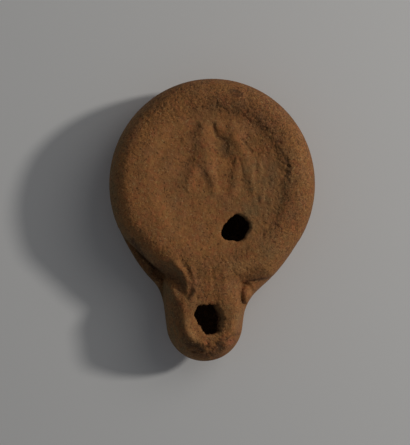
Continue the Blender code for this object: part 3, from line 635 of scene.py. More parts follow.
# Edges of the holes: how deep and wide they are worn, how far and finely they are torn, with
# a seed, and how far the right wall slopes in
FILL_EDGE_WEAR = 0.55 * MM
WICK_EDGE_WEAR = 0.45 * MM
EDGE_WEAR_WIDTH = 0.9 * MM
FILL_TEAR = (0.35 * MM, 1.6 * MM, 3.0)
WICK_TEAR = (0.45 * MM, 1.4 * MM, 7.0)
FILL_WALL_SLOPE = 0.5 * MM
WICK_WALL_SLOPE = 2.4 * MM

# Grain of the clay: feature sizes of its lumps, grains and pores, and how far each shifts the surface
LUMP_SIZE = 7.0 * MM
GRAIN_SIZE = 1.25 * MM
PORE_SIZE = 0.95 * MM
LUMP_SHIFT = 0.10 * MM
GRAIN_SHIFT = 0.12 * MM
PORE_SHIFT = 0.50 * MM
COARSEST = 1.3

# Strength of olive dirt in clouds, of olive painted shade on steep sides that face away from the key
# light and on the ledge, of random dark tone, of dark painted shade on the broken tip and on the ledge,
# of the darkening inside the chamber and of burning, and how deep inside the clay the chamber starts
CLOUD_DIRT = 0.4
STEEP_LEFT_SHADE = 1.2
LEDGE_OLIVE_SHADE = 0.5
CLOUD_DARK = 0.10
BROKEN_TIP_SHADE = 0.30
LEDGE_DARK_SHADE = 0.40
CHAMBER_DARK = 0.9
TIP_RED = 0.8
CHAMBER_DEPTH = 2.0 * MM

# Soft spots: radius in millimetres and strength or depth, then column and row of the picture
RUBBED_SPOTS = ((8.0, 1.0, (261, 182)),)
COARSE_SPOTS = ((15.0, 0.5, (273, 118)),)
RED_SPOTS = ((2.6, 1.0, (231, 343)), (2.0, 0.5, (207, 343)))
CHIPS = (
    (1.7, 0.5, (236, 93)),
    (1.0, 0.5, (232, 95)),
    (1.1, 0.8, (288, 166)),
    (0.9, 0.5, (287, 172)),
)
DIRT_SPOTS = (
    (17.0, 0.63, (266, 185)),
    (10.0, 0.63, (250, 218)),
    (8.0, 0.315, (207, 113)),
    (8.0, 0.495, (232, 318)),
    (5.0, 0.315, (190, 312)),
    (5.0, 0.50, (224, 148)),
    (9.0, 0.70, (272, 250)),
    (8.0, 0.40, (178, 185)),
)

# Worn lines: width and depth in millimetres, then the columns and rows they run through
WORN_LINES = (
    (1.1, 0.34, ((213, 126), (217, 136), (226, 142))),
    (1.6, 0.26, ((226, 143), (225, 152), (221, 157))),
    (0.6, 0.30, ((243, 140), (248, 146), (252, 152))),
    (1.6, 0.20, ((198, 164), (204, 174), (212, 186))),
    (2.4, 0.25, ((197, 128), (190, 137))),
    (3.2, 0.22, ((188, 160), (180, 174), (174, 182))),
    (1.0, 0.16, ((240, 160), (243, 176))),
    (2.6, 0.10, ((258, 164), (261, 182), (260, 202))),
    (2.6, 0.10, ((226, 99), (248, 107), (266, 118), (280, 134), (289, 152))),
)
WORN_RIDGES = (
    (3.0, 0.20, ((205, 126), (206, 140), (210, 158))),
    (1.8, 0.20, ((234, 138), (241, 146), (247, 158))),
    (1.2, 0.14, ((236, 160), (234, 177))),
    (1.0, 0.14, ((254, 160), (252, 182))),
    (2.4, 0.10, ((222, 104), (246, 112), (262, 123), (275, 138), (284, 155))),
    (2.0, 0.35, ((187, 289), (191, 297))),
    (2.4, 0.16, ((286, 180), (287, 192), (284, 206), (279, 219), (272, 232))),
)

# Fine lines along the channel, and the crack across the rim on the right
FINE_LINES = (
    (1.3, 0.13, ((204, 272), (203, 300))),
    (0.9, 0.15, ((213, 268), (213, 299))),
    (1.1, 0.20, ((221, 272), (222, 301))),
    (0.8, 0.08, ((208, 276), (208, 300))),
    (0.7, 0.10, ((197, 276), (196, 300))),
    (0.5, 0.14, ((290, 168), (298, 180), (309, 181))),
)

# Painted shadows along the figures' shaded edges and between their legs, in the grooves by the knob, the
# volute, the ring and the seam, in the chips, the hollow by the neck and under the break of the tip,
# painted shade down the nozzle's left edge, and a few dark spots: width in millimetres and strength,
# then columns and rows
PAINTED_SHADE_LINES = (
    (1.0, 0.75, ((213, 126), (217, 136), (226, 142))),
    (1.7, 0.45, ((225, 144), (224, 156))),
    (0.6, 0.70, ((243, 140), (248, 146), (252, 152))),
    (1.7, 0.60, ((198, 165), (205, 176), (211, 186))),
    (2.6, 0.30, ((197, 128), (190, 137))),
    (3.0, 0.35, ((188, 162), (180, 174), (173, 186))),
    (4.0, 0.30, ((214, 102), (246, 111), (263, 122), (276, 137), (285, 155))),
    (1.0, 0.90, ((286, 160), (289, 168), (288, 174))),
    (1.6, 0.15, ((288, 176), (289, 190), (286, 206), (281, 217), (275, 232))),
    (1.4, 0.95, ((131, 240), (137, 249), (145, 260), (153, 269))),
    (2.8, 0.60, ((154, 268), (164, 273), (174, 278), (180, 283))),
    (2.2, 0.45, ((179, 290), (177, 302), (177, 316), (181, 331), (187, 340))),
    (1.0, 0.80, ((247, 284), (256, 281), (266, 279))),
    (0.6, 0.40, ((243, 285), (240, 292), (241, 299), (244, 305))),
    (0.7, 0.50, ((188, 270), (190, 279), (189, 285))),
    (2.0, 0.85, ((187, 343), (196, 347), (200, 350))),
    (1.5, 0.60, ((196, 355), (206, 357), (216, 358))),
    (1.3, 1.00, ((219, 346), (221, 351))),
    (0.7, 0.70, ((221, 340), (230, 337), (239, 335))),
    (1.1, 0.95, ((230, 91), (235, 91), (241, 93))),
    (0.9, 0.85, ((232, 95), (240, 96))),
)

# Pale worn edges and scratches, painted highlights on the lit rims of both holes, on the lip left of the
# wick hole and on ridges of the relief, and a painted light patch on the slope between the body and the
# knob: width in millimetres and strength, then columns and rows
PALE_WEAR_AND_HIGHLIGHT_LINES = (
    (0.9, 0.75, ((224, 236), (230, 241), (238, 241))),
    (0.8, 0.50, ((241, 237), (247, 229), (250, 222))),
    (3.5, 0.60, ((232, 268), (242, 266), (252, 264))),
    (2.2, 0.60, ((188, 322), (190, 332), (196, 339))),
    (1.0, 0.55, ((186, 299), (189, 306))),
    (0.5, 1.00, ((293, 170), (294, 176))),
    (1.5, 0.45, ((293, 156), (301, 158))),
    (0.6, 0.55, ((149, 144), (155, 149), (161, 154))),
    (1.2, 0.55, ((262, 160), (263, 180), (265, 198))),
    (1.0, 0.35, ((254, 160), (252, 182))),
)


def line_field(x, y, lines):
    """Highest of soft lines that run through places of the picture."""
    field = np.zeros_like(x)
    for width, amount, spots in lines:
        path = [photo_place(*spot) for spot in spots]
        field = np.maximum(field, amount * bump(path_distance(x, y, path), width * MM))
    return field


def spot_field(x, y, spots):
    """Sum of soft round spots at places of the picture."""
    field = np.zeros_like(x)
    for radius, amount, spot in spots:
        spot_x, spot_y = photo_place(*spot)
        field = field + amount * bump(np.hypot(x - spot_x, y - spot_y), radius * MM)
    return field


def plan_noise(x, y, size, seed, octaves=3):
    """Seeded noise in plan, about -1 to 1."""
    flat = np.column_stack([np.ravel(x), np.ravel(y), np.zeros(np.size(x))])
    return rough_noise(flat, size, seed, octaves).reshape(np.shape(x))


def ring_distance(x, y):
    """Distance inside the middle of the ring that frames the discus."""
    return -body_distance(x, y) - SHOULDER_WIDTH - RING_INSET


def ring_nicks(x, y):
    """Broken marks along the ring, none where it is worn away or near the nozzle."""
    rough = plan_noise(x, y, 1.8 * MM, 23.0)
    along = bump(ring_distance(x, y) + NICK_SWAY * rough, NICK_WIDTH)
    broken = np.clip(0.10 + 1.8 * plan_noise(x, y, 2.2 * MM, 25.0), 0.0, 1.0)
    return along * broken * (1.0 - worn_share(x, y)) ** 0.5 * smooth_step(y, -2.0 * MM, 8.0 * MM)


def broken_tip(x, y):
    """Depth in millimetres of the break across the nozzle's tip."""
    torn = plan_noise(x, y, 2.4 * MM, 27.0)
    edge = TIP_Y + BREAK_SETBACK + BREAK_SLOPE * (x - NOZZLE_SHIFT)
    fall = smooth_step(edge - y + BREAK_SWAY * torn, 0.0, BREAK_EDGE)
    deep = np.clip(-outline_distance(x, y) / (3.0 * MM), 0.0, 1.0)
    return (BREAK_DEPTH + BREAK_ROUGHNESS * plan_noise(x, y, 1.9 * MM, 29.0)) * fall * deep


def rubbed_height(x, y):
    """Height of the upper surface with the ring and the fold of cloth rubbed soft."""
    height = top_height(x, y)
    ring = bump(ring_distance(x, y), RUB_WIDTH)
    share = RUB_SHARE * np.maximum(ring, spot_field(x, y, RUBBED_SPOTS))
    around = []
    for turn in np.linspace(0.0, TURN, 6, endpoint=False):
        around.append(top_height(x + RUB_REACH * math.cos(turn), y + RUB_REACH * math.sin(turn)))
    return height + share * (np.mean(around, axis=0) - height)


def worn_height(x, y):
    """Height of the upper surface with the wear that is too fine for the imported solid."""
    level = smooth_step(-outline_distance(x, y), 0.5 * SHOULDER_WIDTH, 1.2 * SHOULDER_WIDTH)
    sway = 0.45 * MM * plan_noise(x, y, 3.5 * MM, 21.0) * level
    height = rubbed_height(x + sway, y - sway)
    change = line_field(x, y + sway, WORN_RIDGES) - line_field(x + sway, y, WORN_LINES)
    change = change - line_field(x + 0.6 * sway, y, FINE_LINES) - NICK_DEPTH * ring_nicks(x, y)
    change = change - spot_field(x, y, CHIPS) - broken_tip(x, y)
    return np.maximum(height + change * MM, SEAM_HEIGHT)


class Surface:
    """Points and faces of the clay, gathered sheet by sheet."""

    def __init__(self):
        self.points = []
        self.faces = []
        self.count = 0

    def add(self, plan, heights):
        """New points. Returns their numbers."""
        heights = np.broadcast_to(heights, len(plan))
        self.points.append(np.column_stack([plan, heights]))
        numbers = np.arange(self.count, self.count + len(plan))
        self.count += len(plan)
        return numbers

    def sheet(self, border, loops, loose, upward):
        """Faces between a border and its loops, through the loose points."""
        plan = np.vstack(self.points)[:, :2]
        rows = [border] + loops
        numbers = np.concatenate(rows + [loose])
        edges = []
        first = 0
        for row in rows:
            edges += [(first + i, first + (i + 1) % len(row)) for i in range(len(row))]
            first += len(row)
        spots = [tuple(spot) for spot in plan[numbers]]
        _, _, found, origins, _, _ = delaunay_2d_cdt(spots, edges, [], 0, 1e-9)
        origins = np.array([origin[0] for origin in origins])
        found = numbers[origins[np.array(found)]]
        centres = plan[found].mean(axis=1)
        found = found[between(centres, plan[border], [plan[loop] for loop in loops])]
        self.faces.append(found if upward else found[:, ::-1])

    def bridge(self, upper, lower):
        """Wall between two loops that run the same way, facing the middle of the loops."""
        after_upper = np.roll(upper, -1)
        after_lower = np.roll(lower, -1)
        self.faces.append(np.column_stack([upper, after_upper, after_lower]))
        self.faces.append(np.column_stack([upper, after_lower, lower]))


class Cavity:
    """Oil chamber left when a ball as big as the wall's thickness rolls along both outer sheets."""

    def __init__(self):
        reach = max(BODY_HALF_WIDTH, BODY_HALF_LENGTH) + 2.0 * WALL_THICKNESS
        self.x = np.arange(-reach, reach, GRID_STEP)
        self.y = np.arange(TIP_Y - 2.0 * WALL_THICKNESS, reach, GRID_STEP)
        grid_x, grid_y = np.meshgrid(self.x, self.y)
        inside = outline_distance(grid_x, grid_y) < 0.0
        upper = np.where(inside, top_height(grid_x, grid_y, carved=False), SEAM_HEIGHT)
        lower = np.where(inside, bottom_height(grid_x, grid_y), SEAM_HEIGHT)
        self.ceiling = self.soften(-self.rolled(-upper))
        self.floor = self.soften(self.rolled(lower))

    @staticmethod
    def rolled(surface):
        """Highest reach of a ball whose middle moves along the surface."""
        steps = int(WALL_THICKNESS / GRID_STEP)
        raised = np.full_like(surface, -np.inf)
        for step_x in range(-steps, steps + 1):
            for step_y in range(-steps, steps + 1):
                across = math.hypot(step_x, step_y) * GRID_STEP
                if across < WALL_THICKNESS:
                    lift = math.sqrt(WALL_THICKNESS ** 2 - across ** 2)
                    moved = np.roll(surface, (step_y, step_x), axis=(0, 1))
                    raised = np.maximum(raised, moved + lift)
        return raised

    @staticmethod
    def soften(surface):
        """Surface with its grid steps smoothed away."""
        for _ in range(6):
            for axis in range(2):
                sides = np.roll(surface, 1, axis=axis) + np.roll(surface, -1, axis=axis)
                surface = surface / 2.0 + sides / 4.0
        return surface

    def read(self, surface, x, y):
        """Height of a surface between the grid's points."""
        column = np.clip((x - self.x[0]) / GRID_STEP, 0.0, len(self.x) - 1.001)
        row = np.clip((y - self.y[0]) / GRID_STEP, 0.0, len(self.y) - 1.001)
        left = column.astype(int)
        below = row.astype(int)
        across = column - left
        along = row - below
        near = surface[below, left] * (1.0 - across) + surface[below, left + 1] * across
        far = surface[below + 1, left] * (1.0 - across) + surface[below + 1, left + 1] * across
        return near * (1.0 - along) + far * along

    def ceiling_height(self, x, y):
        return self.read(self.ceiling, x, y)

    def floor_height(self, x, y):
        return self.read(self.floor, x, y)

    def edge_distance(self, x, y):
        """Less than zero where the chamber is open."""
        return self.floor_height(x, y) - self.ceiling_height(x, y)


def top_points(outline, holes):
    """Points of the upper sheet in rings along both halves' edges, and an even fill within."""
    insets = shoulder_insets(SHOULDER_WIDTH, SHOULDER_STEPS)
    gap = 0.6 * TOP_SPACING
    points = np.empty((0, 2))
    for distance in insets:
        ring = inset(outline, distance)
        level = np.abs(upper_distance(*ring.T) + distance) < 0.1 * distance
        points = np.vstack([points, ring[level]])
    for distance in [0.0] + insets:
        ring = trace(lambda x, y: upper_inset_distance(x, y, distance), LAMP_CENTRE, OUTLINE_POINTS)
        on_ledge = -outline_distance(*ring.T) > distance + 0.3 * gap
        points = np.vstack([points, apart(ring[on_ledge], points, gap)])
    return np.vstack([points, fill_points(outline, holes, points, TOP_SPACING)])


def ragged(outline, centre, size, scale, seed):
    """Outline with a broken edge: each point moved in or out by noise of a scale and a seed."""
    moved = []
    for x, y in outline:
        place = Vector((x / scale, y / scale, seed))
        shift = size * noise.fractal(place, 0.8, 2.1, 4)
        away = Vector((x - centre[0], y - centre[1])).normalized()
        moved.append((x + away.x * shift, y + away.y * shift))
    return np.array(moved)


def throat(hole, place, span, slope):
    """Lower end of a hole whose worn right wall slopes in."""
    right = smooth_step(hole[:, 0], place[0] - 0.1 * span, place[0] + 0.5 * span)
    low = smooth_step(-hole[:, 1], -place[1], 0.5 * span - place[1])
    return hole - np.column_stack([slope * right * (1.0 - 0.5 * low), np.zeros(len(hole))])


def rim_height(plan, holes):
    """Height of the worn upper surface with the rounded edges of both holes."""
    uneven = 1.0 + 0.6 * plan_noise(*plan.T, 1.3 * MM, 31.0)
    height = worn_height(*plan.T)
    for hole, depth in zip(holes, (FILL_EDGE_WEAR, WICK_EDGE_WEAR)):
        near = np.clip(1.0 - nearest(plan, hole) / EDGE_WEAR_WIDTH, 0.0, 1.0)
        height = height - depth * uneven * near ** 2
    return height


def torn_holes():
    """Torn outlines of the filling hole and the wick hole, and their lower ends."""
    sizes = (
        (FILL_HOLE_PLACE, FILL_HOLE_SPAN, FILL_HOLE_CORNERS, FILL_TEAR, FILL_WALL_SLOPE),
        (wick_hole_place(), WICK_HOLE_SPAN, WICK_HOLE_CORNERS, WICK_TEAR, WICK_WALL_SLOPE),
    )
    holes = []
    throats = []
    for place, span, corners, tear, slope in sizes:
        hole = ragged(hole_outline(place, span, corners, HOLE_POINTS), place, *tear)
        holes.append(hole)
        throats.append(throat(hole, place, span, slope))
    return holes, throats


def add_underside(surface, border, outline):
    """Sheet of the base with its turned groove and the bowl around it."""
    angles = np.linspace(0.0, TURN, BASE_POINTS, endpoint=False)
    circle = np.column_stack([np.cos(angles), np.sin(angles)])
    groove_radius = BASE_RADIUS - BASE_GROOVE_INSET
    radii = [groove_radius + share * BASE_GROOVE_WIDTH for share in (-1.0, -0.5, 0.0, 0.5, 1.0)]
    rings = [circle * radius for radius in radii + [BASE_RADIUS]]
    rings += [inset(outline, distance) for distance in shoulder_insets(0.55 * SHOULDER_WIDTH, 9)]
    points = np.vstack(rings)
    points = np.vstack([points, fill_points(outline, [], points, UNDER_SPACING)])
    surface.sheet(border, [], surface.add(points, bottom_height(*points.T)), upward=False)


def add_hole_wall(surface, upper, hole, narrow, top, ceiling):
    """Wall of a hole from its upper loop down to the chamber's ceiling. Returns its lower loop."""
    above = upper
    for row in range(1, HOLE_ROWS + 1):
        share = row / HOLE_ROWS
        plan = hole + (narrow - hole) * share ** 0.7
        below = surface.add(plan, top + (ceiling - top) * share)
        surface.bridge(above, below)
        above = below
    return above


def add_chamber(surface, holes, upper_loops, throats):
    """Walls of both holes, and the ceiling and floor of the oil chamber."""
    cavity = Cavity()
    edge = trace(cavity.edge_distance, LAMP_CENTRE, CAVITY_POINTS)
    border = surface.add(edge, (cavity.ceiling_height(*edge.T) + cavity.floor_height(*edge.T)) / 2.0)
    rings = np.vstack([inset(edge, distance) for distance in shoulder_insets(0.5 * SHOULDER_WIDTH, 5)])
    lower_loops = []
    for hole, narrow, upper in zip(holes, throats, upper_loops):
        top = rim_height(hole, holes)
        ceiling = cavity.ceiling_height(*narrow.T)
        lower_loops.append(add_hole_wall(surface, upper, hole, narrow, top, ceiling))
    points = np.vstack([rings, fill_points(edge, throats, rings, CAVITY_SPACING)])
    points = points[between(points, edge, throats)]
    points = apart(points, np.vstack(throats), 0.4 * CAVITY_SPACING)
    ceiling = surface.add(points, cavity.ceiling_height(*points.T))
    surface.sheet(border, lower_loops, ceiling, upward=False)
    points = np.vstack([rings, fill_points(edge, [], rings, CAVITY_SPACING)])
    floor = surface.add(points, cavity.floor_height(*points.T))
    surface.sheet(border, [], floor, upward=True)


def build_surface():
    """Points and faces of the whole clay body, inside and out."""
    surface = Surface()
    holes, throats = torn_holes()
    outline = trace(outline_distance, LAMP_CENTRE, OUTLINE_POINTS)
    border = surface.add(outline, SEAM_HEIGHT)
    upper_loops = [surface.add(hole, rim_height(hole, holes)) for hole in holes]
    points = top_points(outline, holes)
    loose = surface.add(points, rim_height(points, holes))
    surface.sheet(border, upper_loops, loose, upward=True)
    add_underside(surface, border, outline)
    add_chamber(surface, holes, upper_loops, throats)
    return np.vstack(surface.points), np.vstack(surface.faces)


def point_normals(points, faces):
    """Outward normal at each point, weighted by the faces around it."""
    first, second, third = (points[faces[:, corner]] for corner in range(3))
    across = np.cross(second - first, third - first)
    normals = np.zeros_like(points)
    for axis in range(3):
        for corner in range(3):
            normals[:, axis] += np.bincount(faces[:, corner], across[:, axis], len(points))
    return normals / np.maximum(np.linalg.norm(normals, axis=1), 1e-12)[:, None]


def coarseness(x, y):
    """One where the clay's grain is coarse, on the shoulder, and none where it is worn smooth."""
    depth = -body_distance(x, y)
    shoulder = 1.0 - smooth_step(depth, SHOULDER_WIDTH, SHOULDER_WIDTH + 5.0 * MM)
    back = smooth_step(0.75 * y + 0.65 * x, -12.0 * MM, 12.0 * MM)
    return np.clip(shoulder * (0.45 + 0.55 * back) + spot_field(x, y, COARSE_SPOTS), 0.0, COARSEST)


def grain(points):
    """Outward shift of the surface: soft lumps, coarse grain and open pores."""
    x, y = points[:, :2].T
    lumps = rough_noise(points, LUMP_SIZE, 1.0, 2)
    grains = rough_noise(points, GRAIN_SIZE, 5.0, 3)
    pores = np.clip(rough_noise(points, PORE_SIZE, 9.0, 2) - 0.22, 0.0, 0.5)
    edge = smooth_step(-outline_distance(x, y), 0.0, 3.5 * MM)
    strength = (0.12 + 0.88 * edge) * (0.80 + 0.5 * coarseness(x, y))
    return LUMP_SHIFT * lumps * edge + (GRAIN_SHIFT * grains - PORE_SHIFT * pores) * strength


class Shades:
    """Short calls for the nodes of one material."""

    def __init__(self, material):
        material.use_nodes = True
        self.tree = material.node_tree
        self.shader = self.tree.nodes["Principled BSDF"]
        self.place = self.node("TexCoord", "Object", {})

    def feed(self, node, inputs):
        """Links or sets inputs of a node, by their names or numbers."""
        for name, value in inputs.items():
            if isinstance(value, bpy.types.NodeSocket):
                self.tree.links.new(value, node.inputs[name])
            else:
                node.inputs[name].default_value = value

    def node(self, kind, output, inputs, **settings):
        """Adds a node of a kind. Returns one of its outputs."""
        node = self.tree.nodes.new("ShaderNode" + kind)
        for name, value in settings.items():
            setattr(node, name, value)
        self.feed(node, inputs)
        return node.outputs[output]

    def noise(self, size, detail, roughness, seed):
        """Noise of a feature size in millimetres."""
        inputs = {"Vector": self.place, "Scale": 1.0 / (size * MM), "W": seed}
        inputs.update({"Detail": detail, "Roughness": roughness})
        return self.node("TexNoise", "Fac", inputs, noise_dimensions="4D")

    def rise(self, value, low, high, bottom=0.0, top=1.0):
        """From bottom at low to top at high."""
        ends = {"From Min": low, "From Max": high, "To Min": bottom, "To Max": top}
        return self.node("MapRange", "Result", {"Value": value, **ends})

    def patches(self, size, detail, roughness, seed, low, high, bottom=0.0, top=1.0):
        """Soft patches where the noise of a size is high: from bottom at low to top at high."""
        return self.rise(self.noise(size, detail, roughness, seed), low, high, bottom, top)

    def times(self, first, second):
        return self.node("Math", "Value", {0: first, 1: second}, operation="MULTIPLY")

    def plus(self, first, second):
        return self.node("Math", "Value", {0: first, 1: second}, operation="ADD")

    def mix(self, factor, first, second):
        """Colour between two colours."""
        return self.node("Mix", 2, {0: factor, 6: first, 7: second}, data_type="RGBA")

    def scaled(self, colour, factor):
        """Colour made lighter or darker by a value."""
        return self.node("VectorMath", "Vector", {0: colour, "Scale": factor}, operation="SCALE")

    def painted(self, name):
        """The four values stored at the points under a name."""
        colour = self.node("Attribute", "Color", {}, attribute_name=name)
        last = self.node("Attribute", "Alpha", {}, attribute_name=name)
        names = ("Red", "Green", "Blue")
        return (*(self.node("SeparateColor", part, {"Color": colour}) for part in names), last)

    def relief(self, height, distance, **normal):
        """Fine relief from a value, on top of another one's if its normal is given."""
        inputs = {"Height": height, "Distance": distance, "Strength": 0.8, **normal}
        return self.node("Bump", "Normal", inputs)


# Colours of the clay, of what lies on it, and of its painted shade and painted highlights
CLAY_BROWN = (0.285, 0.117, 0.038, 1.0)
CLAY_ORANGE = (0.370, 0.156, 0.047, 1.0)
CLAY_RED = (0.360, 0.112, 0.040, 1.0)
CLAY_OCHRE = (0.380, 0.197, 0.060, 1.0)
PORE_BROWN = (0.110, 0.046, 0.018, 1.0)
PALE_GRIT = (0.46, 0.28, 0.12, 1.0)
# Pale of worn edges and scratches, also used for painted highlights
PALE_WEAR_AND_HIGHLIGHT = (0.50, 0.250, 0.092, 1.0)
PINK_DUST = (0.38, 0.175, 0.082, 1.0)
# Olive of dirt, and of painted shade on the sides away from the light and on the ledge
OLIVE_DIRT_AND_SHADE = (0.205, 0.128, 0.054, 1.0)
# Dark brown of painted shadows and shade, of random dark tone and of the darkened chamber
SHADE_AND_TONE_BROWN = (0.088, 0.042, 0.018, 1.0)
BURNT_RED = (0.42, 0.135, 0.055, 1.0)


def clay_colour(shades, coarse, red, pale):
    """Colour of the clean clay: soft patches of brown, orange, red, ochre, dust and burning, and pale
    wear with painted highlights.
    """
    broad = shades.patches(11.0, 3.0, 0.6, 1.0, 0.35, 0.65)
    colour = shades.mix(broad, CLAY_BROWN, CLAY_ORANGE)
    ruddy = shades.patches(2.6, 4.0, 0.75, 2.0, 0.48, 0.68)
    colour = shades.mix(shades.times(ruddy, 0.85), colour, CLAY_RED)
    ochre = shades.patches(1.6, 4.0, 0.75, 12.0, 0.50, 0.70)
    colour = shades.mix(shades.times(ochre, 0.8), colour, CLAY_OCHRE)
    colour = shades.scaled(colour, shades.patches(1.5, 3.0, 0.7, 3.0, 0.25, 0.75, 0.80, 1.20))
    colour = shades.scaled(colour, shades.rise(coarse, 0.0, COARSEST, 1.0, 0.79))
    dust = shades.patches(8.0, 4.0, 0.65, 13.0, 0.50, 0.68, 0.0, 0.40)
    colour = shades.mix(dust, colour, PINK_DUST)
    colour = shades.mix(red, colour, BURNT_RED)
    # Pale worn edges and scratches, and painted highlights on lit rims, lips and ridges
    return shades.mix(pale, colour, PALE_WEAR_AND_HIGHLIGHT)


def pore_share(shades, dark, coarse):
    """Where dark pores lie: crowded in patches, more where the dark tone and painted shade lie, and
    where the grain is coarse.
    """
    crowd = shades.patches(5.0, 2.0, 0.5, 8.0, 0.35, 0.65, 0.035, -0.01)
    crowd = shades.plus(crowd, shades.times(dark, -0.10))
    crowd = shades.plus(crowd, shades.times(coarse, -0.05))
    return shades.rise(shades.plus(shades.noise(0.75, 1.0, 0.5, 7.0), crowd), 0.40, 0.31)


def clay_material():
    """Worn orange brown fired clay with pores, grit and dirt, and painted shade and highlights."""
    material = bpy.data.materials.new("fired_clay")
    shades = Shades(material)
    # Stored values: olive dirt and painted shade, dark tone and painted shade, burnt red, and coarse
    # grain
    dirt, dark, red, coarse = shades.painted("wear")
    colour = clay_colour(shades, coarse, red, shades.painted("pale")[0])
    # Olive: dirt, and painted shade on steep sides away from the light and on the ledge
    dirt_and_painted_shade = shades.times(dirt, shades.patches(2.2, 4.0, 0.7, 4.0, 0.30, 0.60, 0.25, 1.0))
    colour = shades.mix(dirt_and_painted_shade, colour, OLIVE_DIRT_AND_SHADE)
    fine = shades.noise(0.50, 2.0, 0.7, 6.0)
    depth = shades.rise(coarse, 0.0, COARSEST, 0.22, 0.74)
    swing = shades.times(shades.rise(fine, 0.27, 0.73, -1.0, 1.0), depth)
    colour = shades.scaled(colour, shades.plus(swing, 1.0))
    pores = pore_share(shades, dark, coarse)
    colour = shades.mix(shades.times(pores, 0.62), colour, PORE_BROWN)
    # Dark brown: painted shadows and shade, random dark tone and the darkened chamber
    painted_shade_and_dark_tone = shades.times(dark, shades.patches(1.1, 3.0, 0.7, 5.0, 0.30, 0.60, 0.30, 1.0))
    colour = shades.mix(painted_shade_and_dark_tone, colour, SHADE_AND_TONE_BROWN)
    grit = shades.patches(0.65, 1.0, 0.5, 9.0, 0.64, 0.70)
    colour = shades.mix(shades.times(grit, 0.55), colour, PALE_GRIT)
    pitted = shades.plus(shades.noise(0.9, 3.0, 0.7, 10.0), shades.times(pores, -0.30))
    shades.feed(shades.shader, {
        "Base Color": colour,
        "Roughness": shades.rise(fine, 0.2, 0.8, 0.78, 0.95),
        "Specular IOR Level": 0.25,
        "Normal": shades.relief(fine, 0.14 * MM, Normal=shades.relief(pitted, 0.34 * MM)),
    })
    return material


def dirt_shade_burn_and_grain_values(points, normals):
    """Olive dirt with olive painted shade, dark tone with dark painted shade and the darkened chamber,
    burnt red, and coarse grain at each point.
    """
    x, y, z = points.T
    cloud = rough_noise(points, 5.0 * MM, 13.0, 3)
    sway = 0.5 * MM * rough_noise(points, 3.0 * MM, 33.0, 2)
    # The ledge beside the neck on the left, under the upper half: it gets olive and dark painted shade
    ledge = smooth_step(upper_distance(x, y), -0.4 * MM, 0.4 * MM) * (x < NOZZLE_SHIFT)
    steep = np.clip(2.2 * (1.0 - normals[:, 2]), 0.0, 1.0)
    left = np.clip(-normals[:, 0] - 0.3 * normals[:, 1], 0.0, 1.0)
    # Olive: dirt in spots and clouds, and painted shade on steep sides that face left, away from the key
    # light
    dirt = spot_field(x, y, DIRT_SPOTS) + CLOUD_DIRT * cloud + STEEP_LEFT_SHADE * steep * left
    dirt = dirt + LEDGE_OLIVE_SHADE * ledge
    red = TIP_RED * spot_field(x, y, RED_SPOTS)
    # Dark: random dark tone, and painted shadows along the figures' edges, in grooves, hollows and
    # chips, and down the nozzle's shaded left edge
    dark = line_field(x + sway, y - sway, PAINTED_SHADE_LINES) + CLOUD_DARK * np.clip(cloud, 0.0, 1.0)
    # Dark painted shade on the lowered break of the tip, and on the ledge
    dark = dark + BROKEN_TIP_SHADE * smooth_step(broken_tip(x, y), 0.15, 0.8) + LEDGE_DARK_SHADE * ledge
    top = smooth_step(z, SEAM_HEIGHT - 7.0 * MM, SEAM_HEIGHT + 1.0 * MM)
    within = np.minimum(top_height(x, y) - z, z - bottom_height(x, y)) > CHAMBER_DEPTH
    dark = np.where(within, CHAMBER_DARK, dark * top)
    values = np.column_stack([dirt * top, dark, red * top, coarseness(x, y)])
    return np.clip(values, 0.0, COARSEST)


def pale_wear_and_highlight_values(points):
    """Strength of the pale marks at each point: worn edges and scratches, and painted highlights and
    light.
    """
    x, y, z = points.T
    sway = 0.4 * MM * rough_noise(points, 2.0 * MM, 35.0, 2)
    broken = np.clip(0.75 + 0.9 * rough_noise(points, 1.5 * MM, 37.0, 2), 0.0, 1.0)
    return line_field(x + sway, y - sway, PALE_WEAR_AND_HIGHLIGHT_LINES) * broken * (z > SEAM_HEIGHT)


def paint(mesh, name, values):
    """Stores four values at each point under a name."""
    layer = mesh.color_attributes.new(name, "FLOAT_COLOR", "POINT")
    layer.data.foreach_set("color", values.astype(np.float32).ravel())


def new_object(name, data):
    """Object of the scene that shows some data."""
    made = bpy.data.objects.new(name, data)
    bpy.context.scene.collection.objects.link(made)
    return made


def build_lamp():
    """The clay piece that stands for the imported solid."""
    points, faces = build_surface()
    normals = point_normals(points, faces)
    points = points + normals * grain(points)[:, None]
    normals = point_normals(points, faces)
    points[:, 2] = np.maximum(points[:, 2], 0.0)
    mesh = bpy.data.meshes.new("clay_lamp")
    mesh.from_pydata(points.tolist(), [], faces.tolist())
    mesh.shade_smooth()
    # Stored values: olive dirt and painted shade, dark tone and painted shade, burnt red, and coarse
    # grain
    paint(mesh, "wear", dirt_shade_burn_and_grain_values(points, normals))
    # Pale worn edges and scratches, and painted highlights on lit rims, lips and ridges
    paint(mesh, "pale", np.tile(pale_wear_and_highlight_values(points)[:, None], 4))
    mesh.materials.append(clay_material())
    return new_object("clay_lamp", mesh)


def build_camera():
    """Camera straight above that frames the seam's level as the photo does."""
    data = bpy.data.cameras.new("camera")
    data.sensor_fit = "VERTICAL"
    data.sensor_height = SENSOR_HEIGHT
    data.lens = SENSOR_HEIGHT * (CAMERA_HEIGHT - SEAM_HEIGHT) / FRAME_HEIGHT_AT_SEAM
    camera = new_object("camera", data)
    camera.location = (*CAMERA_PLACE, CAMERA_HEIGHT)
    bpy.context.scene.camera = camera


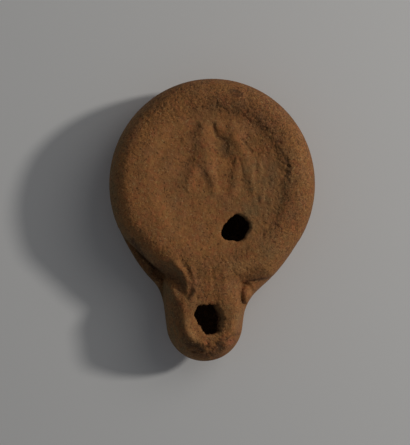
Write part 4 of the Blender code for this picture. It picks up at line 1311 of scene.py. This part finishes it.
# Key light from the right, low over the floor, and a wide soft light above it.
# Each has an azimuth and elevation in degrees, a distance, a size, a power and a colour
KEY_LIGHT = (14.8, 32.4, 1.00, 0.100, 3.75, (1.0, 0.975, 0.93))
SOFT_LIGHT = (38.0, 46.0, 0.80, 0.50, 0.72, (1.0, 0.98, 0.95))
SKY_COLOUR = (0.93, 0.97, 1.04, 1.0)
SKY_STRENGTH = 0.112
FLOOR_COLOUR = (0.76, 0.755, 0.745, 1.0)
FLOOR_SIZE = 3.0


def build_disk_light(name, azimuth, elevation, distance, size, power, colour):
    """Round light that faces the lamp."""
    data = bpy.data.lights.new(name, "AREA")
    data.shape = "DISK"
    data.size = size
    data.energy = power
    data.color = colour
    turn = math.radians(azimuth)
    rise = math.radians(elevation)
    across = math.cos(rise)
    toward = Vector((across * math.cos(turn), across * math.sin(turn), math.sin(rise)))
    light = new_object(name, data)
    light.location = toward * distance
    light.rotation_euler = toward.to_track_quat("Z", "Y").to_euler()


def build_light():
    """Key light, soft light and an even sky."""
    build_disk_light("key", *KEY_LIGHT)
    build_disk_light("soft", *SOFT_LIGHT)
    world = bpy.data.worlds.new("sky")
    world.use_nodes = True
    background = world.node_tree.nodes["Background"]
    background.inputs["Color"].default_value = SKY_COLOUR
    background.inputs["Strength"].default_value = SKY_STRENGTH
    bpy.context.scene.world = world


def build_floor():
    """Plain pale ground under the lamp."""
    half = FLOOR_SIZE / 2.0
    mesh = bpy.data.meshes.new("floor")
    corners = [(-half, -half, 0.0), (half, -half, 0.0), (half, half, 0.0), (-half, half, 0.0)]
    mesh.from_pydata(corners, [], [(0, 1, 2, 3)])
    material = bpy.data.materials.new("floor")
    shades = Shades(material)
    inputs = {"Base Color": FLOOR_COLOUR, "Roughness": 0.95, "Specular IOR Level": 0.1}
    shades.feed(shades.shader, inputs)
    mesh.materials.append(material)
    new_object("floor", mesh)


bpy.context.scene.view_settings.view_transform = "Standard"
build_camera()
build_light()
build_floor()
lamp = build_lamp()
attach(lamp, "root")
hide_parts("lamp_body")
